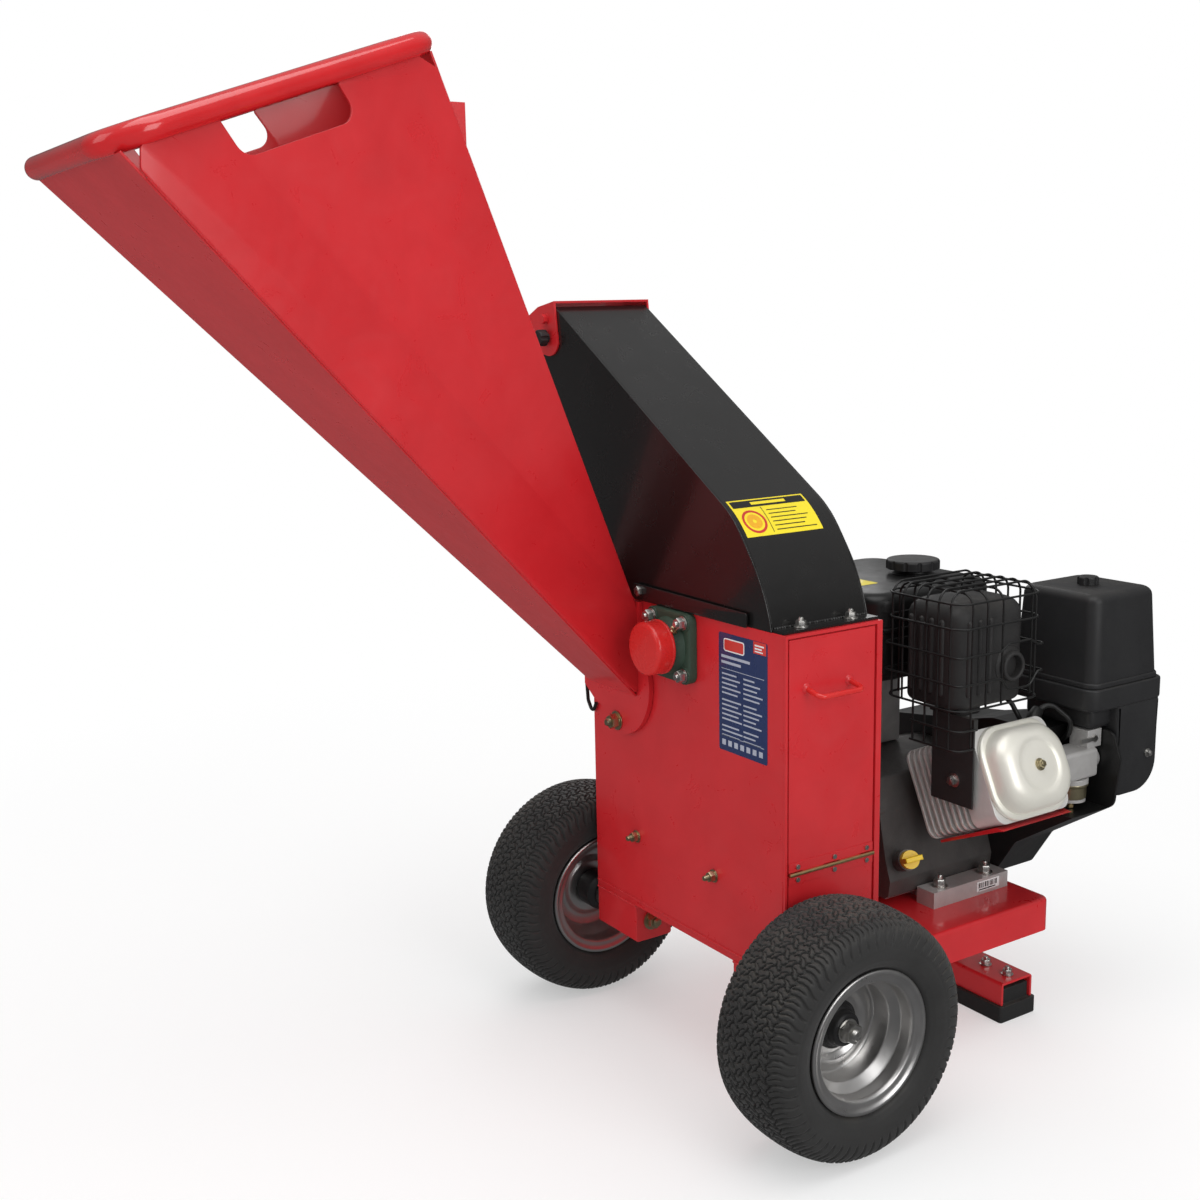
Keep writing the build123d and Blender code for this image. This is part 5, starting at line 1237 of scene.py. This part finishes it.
def carburettor_parts():
    build("carburettor_bowl", turned(FLOAT_BOWL, (228, 492, 0), Z, 56), BOWL, slot="brass")
    build("bowl_nut", bolt((228, 492, 333.5), -Z, 10, 5, 6.5), BRASS, slot="brass")
    path = round_path([(206, 470, 404), (180, 462, 418), (150, 452, 470), (96, 448, 500),
                       (60, 440, 512)], 18)
    build("fuel_hose", tube(path, 3.6, sides=14), CABLE, slot="rubber_black", angle=50)


fuel_tank()
air_filter()
carburettor_parts()

# --------------------------------------------- labels (plain bars, no wording)

LABEL_Y = FRONT_Y - 0.05
LABEL_THICK = 0.25


def front_plane(lift):
    return ((0, LABEL_Y - lift, 0), X, Z)


def front_patch(name, x0, x1, z0, z1, material, lift, radius):
    plate(name, round_rectangle(x0, x1, z0, z1, radius, 4), front_plane(lift), LABEL_THICK,
          material, 0.05)


def bars(name, plane, rectangles, material, thick=0.12):
    """Thin printed bars (x0, x1, y0, y1) on a flat label, in one mesh."""
    origin, x, y = (Vector(c) for c in plane)
    normal = x.cross(y)
    build(name, merge(*(skin([[origin + x * a + y * b + normal * height
                               for a, b in ((x0, y0), (x1, y0), (x1, y1), (x0, y1))]
                              for height in (0, thick)])
                        for x0, x1, y0, y1 in rectangles)), material)


def front_label():
    front_patch("front_label", 86.5, 184.5, 474.5, 630.5, LABEL_NAVY, 0.0, 3.0)
    rows = []
    z = 578.0
    for k in range(13):
        if k in (5, 10):
            z -= 3.0
        rows += [(93, 123 + (k * 7) % 13, z - 2.1, z), (137, 159 + (k * 11) % 17, z - 2.1, z)]
        z -= 6.3
    rows += [(92, 178, 583.2, 584.0), (92, 178, 494.4, 495.2), (92, 150, 598, 601.6),
             (92, 132, 590.5, 594.0)]
    rows += [(93 + 12.5 * k, 100.5 + 12.5 * k, 482, 489.5) for k in range(7)]
    bars("front_label_bars", front_plane(LABEL_THICK), rows, LABEL_GREY)
    front_patch("front_label_header", 97, 139, 607, 624, LABEL_WHITE, 0.26, 3.5)
    front_patch("front_label_header_in", 98.6, 137.4, 608.6, 622.4, LABEL_RED, 0.50, 2.6)
    front_patch("front_badge", 157, 182, 614.5, 630, LABEL_RED, 0.26, 0.6)
    bars("front_badge_bars", front_plane(0.55),
         [(160, 178, 624, 626), (160, 174, 620, 622), (160, 176, 616.6, 618.2)], LABEL_WHITE)


front_label()

# The yellow label rolls over the bend of the chute. It follows label_line; travel is the
# distance along that line at each of its points.
label_line = [p for p in chute_line[SPAN_STEPS:2 * SPAN_STEPS + 1] if p.x < 137.5]
label_line.append(BEND_END.lerp(CHUTE_OUTLET, 0.012))
travel = [0.0]
for line_start, line_end in zip(label_line, label_line[1:]):
    travel.append(travel[-1] + (line_end - line_start).length)
LABEL_MIDDLE_Y = 42.0                 # where the height of the sheet is taken
bpy.context.view_layer.update()
wrapper_tree = BVHTree.FromPolygons(
    [chute_wrapper.matrix_world @ vert.co for vert in chute_wrapper.data.vertices],
    [tuple(face.vertices) for face in chute_wrapper.data.polygons])


def on_sheet(distance):
    """Point on the chute sheet at a distance along the label line, and its normal."""
    j = max(k for k in range(len(travel)) if travel[k] <= max(distance, 0.0) + 1e-9)
    j = min(j, len(travel) - 2)
    start, end = label_line[j], label_line[j + 1]
    point = start.lerp(end, (distance - travel[j]) / (travel[j + 1] - travel[j]))
    forward = (end - start).normalized()
    normal = Vector((forward.z, 0, -forward.x))
    if normal.z < 0:
        normal = -normal
    above = Vector((point.x, LABEL_MIDDLE_Y, point.z)) * MM + OFFSET + normal * 0.02
    hit = wrapper_tree.ray_cast(above, -normal, 0.04)[0]
    if hit is not None:
        hit = (hit - OFFSET) / MM
        point = Vector((hit.x, 0, hit.z))
    return point, normal


def raised(distance, y, lift):
    point, normal = on_sheet(distance)
    point = point + normal * lift
    return point.x, y, point.z


def rolled(name, y0, y1, start, end, lift, material, steps=26):
    """Patch from start to end, given as shares of the label's length."""
    rings = []
    for i in range(steps + 1):
        distance = travel[-1] * (start + (end - start) * i / steps)
        rings.append([raised(distance, y, h) for y, h in (
            (y0, lift), (y1, lift), (y1, lift + LABEL_THICK), (y0, lift + LABEL_THICK))])
    build(name, skin(rings), material, angle=40)


def rolled_ring(name, inner, outer, material):
    """Flat ring on the label, one of two about the same centre."""
    y_centre, share, low, high, steps = 3.0, 0.37, 0.34, 0.54, 48
    rings = []
    for i in range(steps):
        turn = 2 * math.pi * i / steps
        rings.append([raised(travel[-1] * share + r * math.sin(turn),
                             y_centre + r * math.cos(turn), h)
                      for r, h in ((inner, low), (outer, low), (outer, high), (inner, high))])
    build(name, skin(rings, cyclic=True), material, angle=40)


def chute_label():
    rolled("chute_label", -20, 104, 0.0, 1.0, 0.05, LABEL_YELLOW)
    rolled("chute_label_band", -17, 101, 0.76, 0.96, 0.30, LABEL_BLACK)
    rolled("chute_label_head", 14, 70, 0.82, 0.90, 0.50, LABEL_YELLOW, steps=6)
    rolled("chute_label_rule", 24.5, 25.3, 0.06, 0.74, 0.30, LABEL_BLACK)
    for k in range(6):
        rolled(f"chute_label_row{k}", 31, 97 - (k * 17) % 23, 0.10 + k * 0.104,
               0.122 + k * 0.104, 0.30, LABEL_BLACK, steps=4)
    rolled_ring("chute_label_ring", 14.6, 18.0, LABEL_RED)
    rolled_ring("chute_label_disc", 3.0, 11.0, LABEL_ORANGE)


def tank_label():
    for name, rectangle, z, thick, material, edge in (
            ("tank_patch", (-50, 50, -17, 17, 4, 5), TANK_TOP + 0.05, 0.25, LABEL_YELLOW, 0.05),
            ("tank_patch_panel", (-40, 22, -10, 10, 1, 3), TANK_TOP + 0.3, 0.2,
             LABEL_ORANGE, 0.04)):
        plate(name, round_rectangle(*rectangle), ((-50, 315, z), X, Y), thick, material, edge)


def rail_label():
    """White label with a row of upright stripes, facing +X on the engine frame."""
    plate("rail_label", round_rectangle(392, 438, 195, 210, 0.6, 3),
          ((150.05, 0, 0), Y, Z), 0.2, LABEL_WHITE, 0.04)
    stripes, y, k = [], 395.0, 0
    while y < 434:
        width = 0.7 + ((k * 7) % 4) * 0.55
        stripes.append((y, y + width, 200, 208))
        y += width + 0.8 + ((k * 5) % 3) * 0.5
        k += 1
    stripes.append((396, 430, 196.6, 198.4))
    bars("rail_label_bars", ((150.25, 0, 0), Y, Z), stripes, LABEL_BLACK, thick=0.1)


chute_label()
tank_label()
rail_label()

# ---------------------------------------------------- stop cable and spark plug


def stop_cable():
    path = round_path([(-203, -31.6, 474), (-212, -32, 457), (-224, -32, 474),
                       (-227, -32, 504), (-217, -32, 527), (-205, -31.6, 531)], 12)
    build("stop_cable", tube(path, 2.6), CABLE, slot="rubber_black", angle=50)


def spark_plug():
    seat = on_cylinder(232, 428, 48)
    axis = Vector((math.sin(TILT) * -0.45, 0.75, 0.55)).normalized()
    plug = [(0, 0), (9, 0), (9, 8), (6.5, 9), (6.5, 22), (0, 22)]
    build("spark_plug", turned(plug, seat, axis, 24, 0.6), ZINC, slot="zinc")
    boot = [(0, 18), (9.2, 18), (9.6, 30), (8.4, 44), (0, 46)]
    lead = round_path([seat + axis * 40, seat + axis * 52 + Vector((10, 8, 4)),
                       seat + axis * 40 + Vector((34, 34, -12)), (214, 500, 430),
                       (190, 512, 410)], 16)
    build("plug_lead", merge(turned(boot, seat, axis, 24, 2.0), tube(lead, 3.8, sides=14)),
          CABLE, slot="rubber_black")


stop_cable()
spark_plug()

# ------------------------------------------------------- stage, camera, lights


def floor_material():
    """Grey near the machine, fading to pure white; dim in glossy reflections."""
    material = finish("studio_white", (0.56, 0.56, 0.56), plain=True, rough=(0.75, 0.85),
                      bump=0.02, fine=40, spec=0.1)
    tree = material.node_tree
    shader = tree.nodes["Principled BSDF"]
    set_inputs(tree, shader, {"Emission Color": (1, 1, 1, 1), "Emission Strength": 0.42})
    position = add_node(tree, "ShaderNodeNewGeometry").outputs["Position"]
    distance = add_node(tree, "ShaderNodeVectorMath", {0: position}, operation="LENGTH")
    far = add_node(tree, "ShaderNodeMapRange", {
        "Value": distance.outputs["Value"], "From Min": 0.75, "From Max": 2.4,
        "To Min": 0.0, "To Max": 1.0}, interpolation_type="SMOOTHSTEP")
    white = add_node(tree, "ShaderNodeEmission", {"Strength": 1.0})
    dim = add_node(tree, "ShaderNodeEmission", {"Color": (0.9, 0.9, 0.92, 1),
                                                "Strength": 0.11})
    glossy = add_node(tree, "ShaderNodeLightPath").outputs["Is Glossy Ray"]
    faded = add_node(tree, "ShaderNodeMixShader", {
        0: far.outputs["Result"], 1: shader.outputs[0], 2: white.outputs[0]})
    seen = add_node(tree, "ShaderNodeMixShader", {
        0: glossy, 1: faded.outputs[0], 2: dim.outputs[0]})
    output = next(node for node in tree.nodes if node.type == "OUTPUT_MATERIAL")
    set_inputs(tree, output, {"Surface": seen.outputs[0]})
    return material


def studio_floor():
    mesh = bpy.data.meshes.new("studio_floor")
    bm = bmesh.new()
    bmesh.ops.create_grid(bm, x_segments=2, y_segments=2, size=14.0)
    bm.to_mesh(mesh)
    bm.free()
    floor = bpy.data.objects.new("studio_floor", mesh)
    OBJECTS.link(floor)
    mesh.materials.append(floor_material())


def camera(azimuth, elevation, roll, lens, location):
    """Camera in front of the machine on its +X side. Angles in radians, lens in mm."""
    forward = Vector((-math.sin(azimuth) * math.cos(elevation),
                      math.cos(azimuth) * math.cos(elevation), -math.sin(elevation)))
    level = forward.cross(Z).normalized()
    upright = level.cross(forward)
    right = level * math.cos(roll) + upright * math.sin(roll)
    up = upright * math.cos(roll) - level * math.sin(roll)
    data = bpy.data.cameras.new("cam")
    data.sensor_width = 36
    data.lens = lens
    data.clip_start = 0.05
    data.clip_end = 60
    obj = bpy.data.objects.new("cam", data)
    OBJECTS.link(obj)
    obj.matrix_world = Matrix(((right.x, up.x, -forward.x, location.x),
                               (right.y, up.y, -forward.y, location.y),
                               (right.z, up.z, -forward.z, location.z), (0, 0, 0, 1)))
    SCENE.camera = obj


def area_light(name, location, target, width, height, power):
    data = bpy.data.lights.new(name, "AREA")
    data.shape = "RECTANGLE"
    data.size = width
    data.size_y = height
    data.energy = power
    obj = bpy.data.objects.new(name, data)
    OBJECTS.link(obj)
    obj.location = location
    aim = Vector(target) - Vector(location)
    obj.rotation_euler = aim.to_track_quat("-Z", "Y").to_euler()


def studio_world():
    """White to the camera, softer as light, and a dim gradient in glossy reflections."""
    # the loaded scene may or may not bring a world and its two standard nodes
    world = SCENE.world or bpy.data.worlds.new("studio")
    SCENE.world = world
    world.use_nodes = True
    tree = world.node_tree
    light = tree.nodes.get("Background") or tree.nodes.new("ShaderNodeBackground")
    output = tree.nodes.get("World Output") or tree.nodes.new("ShaderNodeOutputWorld")
    white = (1, 1, 1, 1)
    set_inputs(tree, light, {"Color": white, "Strength": 0.70})
    backdrop = add_node(tree, "ShaderNodeBackground", {"Color": white, "Strength": 1.0})
    rays = add_node(tree, "ShaderNodeLightPath").outputs
    direction = add_node(tree, "ShaderNodeTexCoord").outputs["Generated"]
    height = add_node(tree, "ShaderNodeSeparateXYZ", {0: direction}).outputs["Z"]
    gradient = add_node(tree, "ShaderNodeMapRange", {
        "Value": height, "From Min": 0.05, "From Max": 0.85, "To Min": 0.10,
        "To Max": 0.42}, interpolation_type="SMOOTHSTEP")
    mirrored = add_node(tree, "ShaderNodeBackground",
                        {"Strength": gradient.outputs["Result"]})
    unseen = add_node(tree, "ShaderNodeMixShader", {
        0: rays["Is Glossy Ray"], 1: light.outputs[0], 2: mirrored.outputs[0]})
    whole = add_node(tree, "ShaderNodeMixShader", {
        0: rays["Is Camera Ray"], 1: unseen.outputs[0], 2: backdrop.outputs[0]})
    set_inputs(tree, output, {0: whole.outputs[0]})


studio_floor()
camera(azimuth=0.9965624860733125, elevation=0.19400912806021894,
       roll=-0.021265093329002227, lens=44.78410123722872,
       location=Vector((1.5749162252530516, -1.1715191840829705, 1.0419217082156918)) + OFFSET)
area_light("key_top", location=(0.6, -0.5, 3.4), target=(0, 0, 0.6),
           width=2.6, height=2.2, power=34)
area_light("side_right", location=(3.2, 0.2, 1.7), target=(0.1, 0.1, 0.6),
           width=1.8, height=2.2, power=30)
area_light("front_left", location=(-0.4, -3.4, 2.1), target=(0, 0, 0.7),
           width=1.6, height=2.0, power=10)
area_light("back_left", location=(-2.6, 1.8, 2.2), target=(0, 0.1, 0.8),
           width=1.8, height=1.8, power=16)
studio_world()
SCENE.view_settings.view_transform = "Standard"
SCENE.view_settings.look = "None"
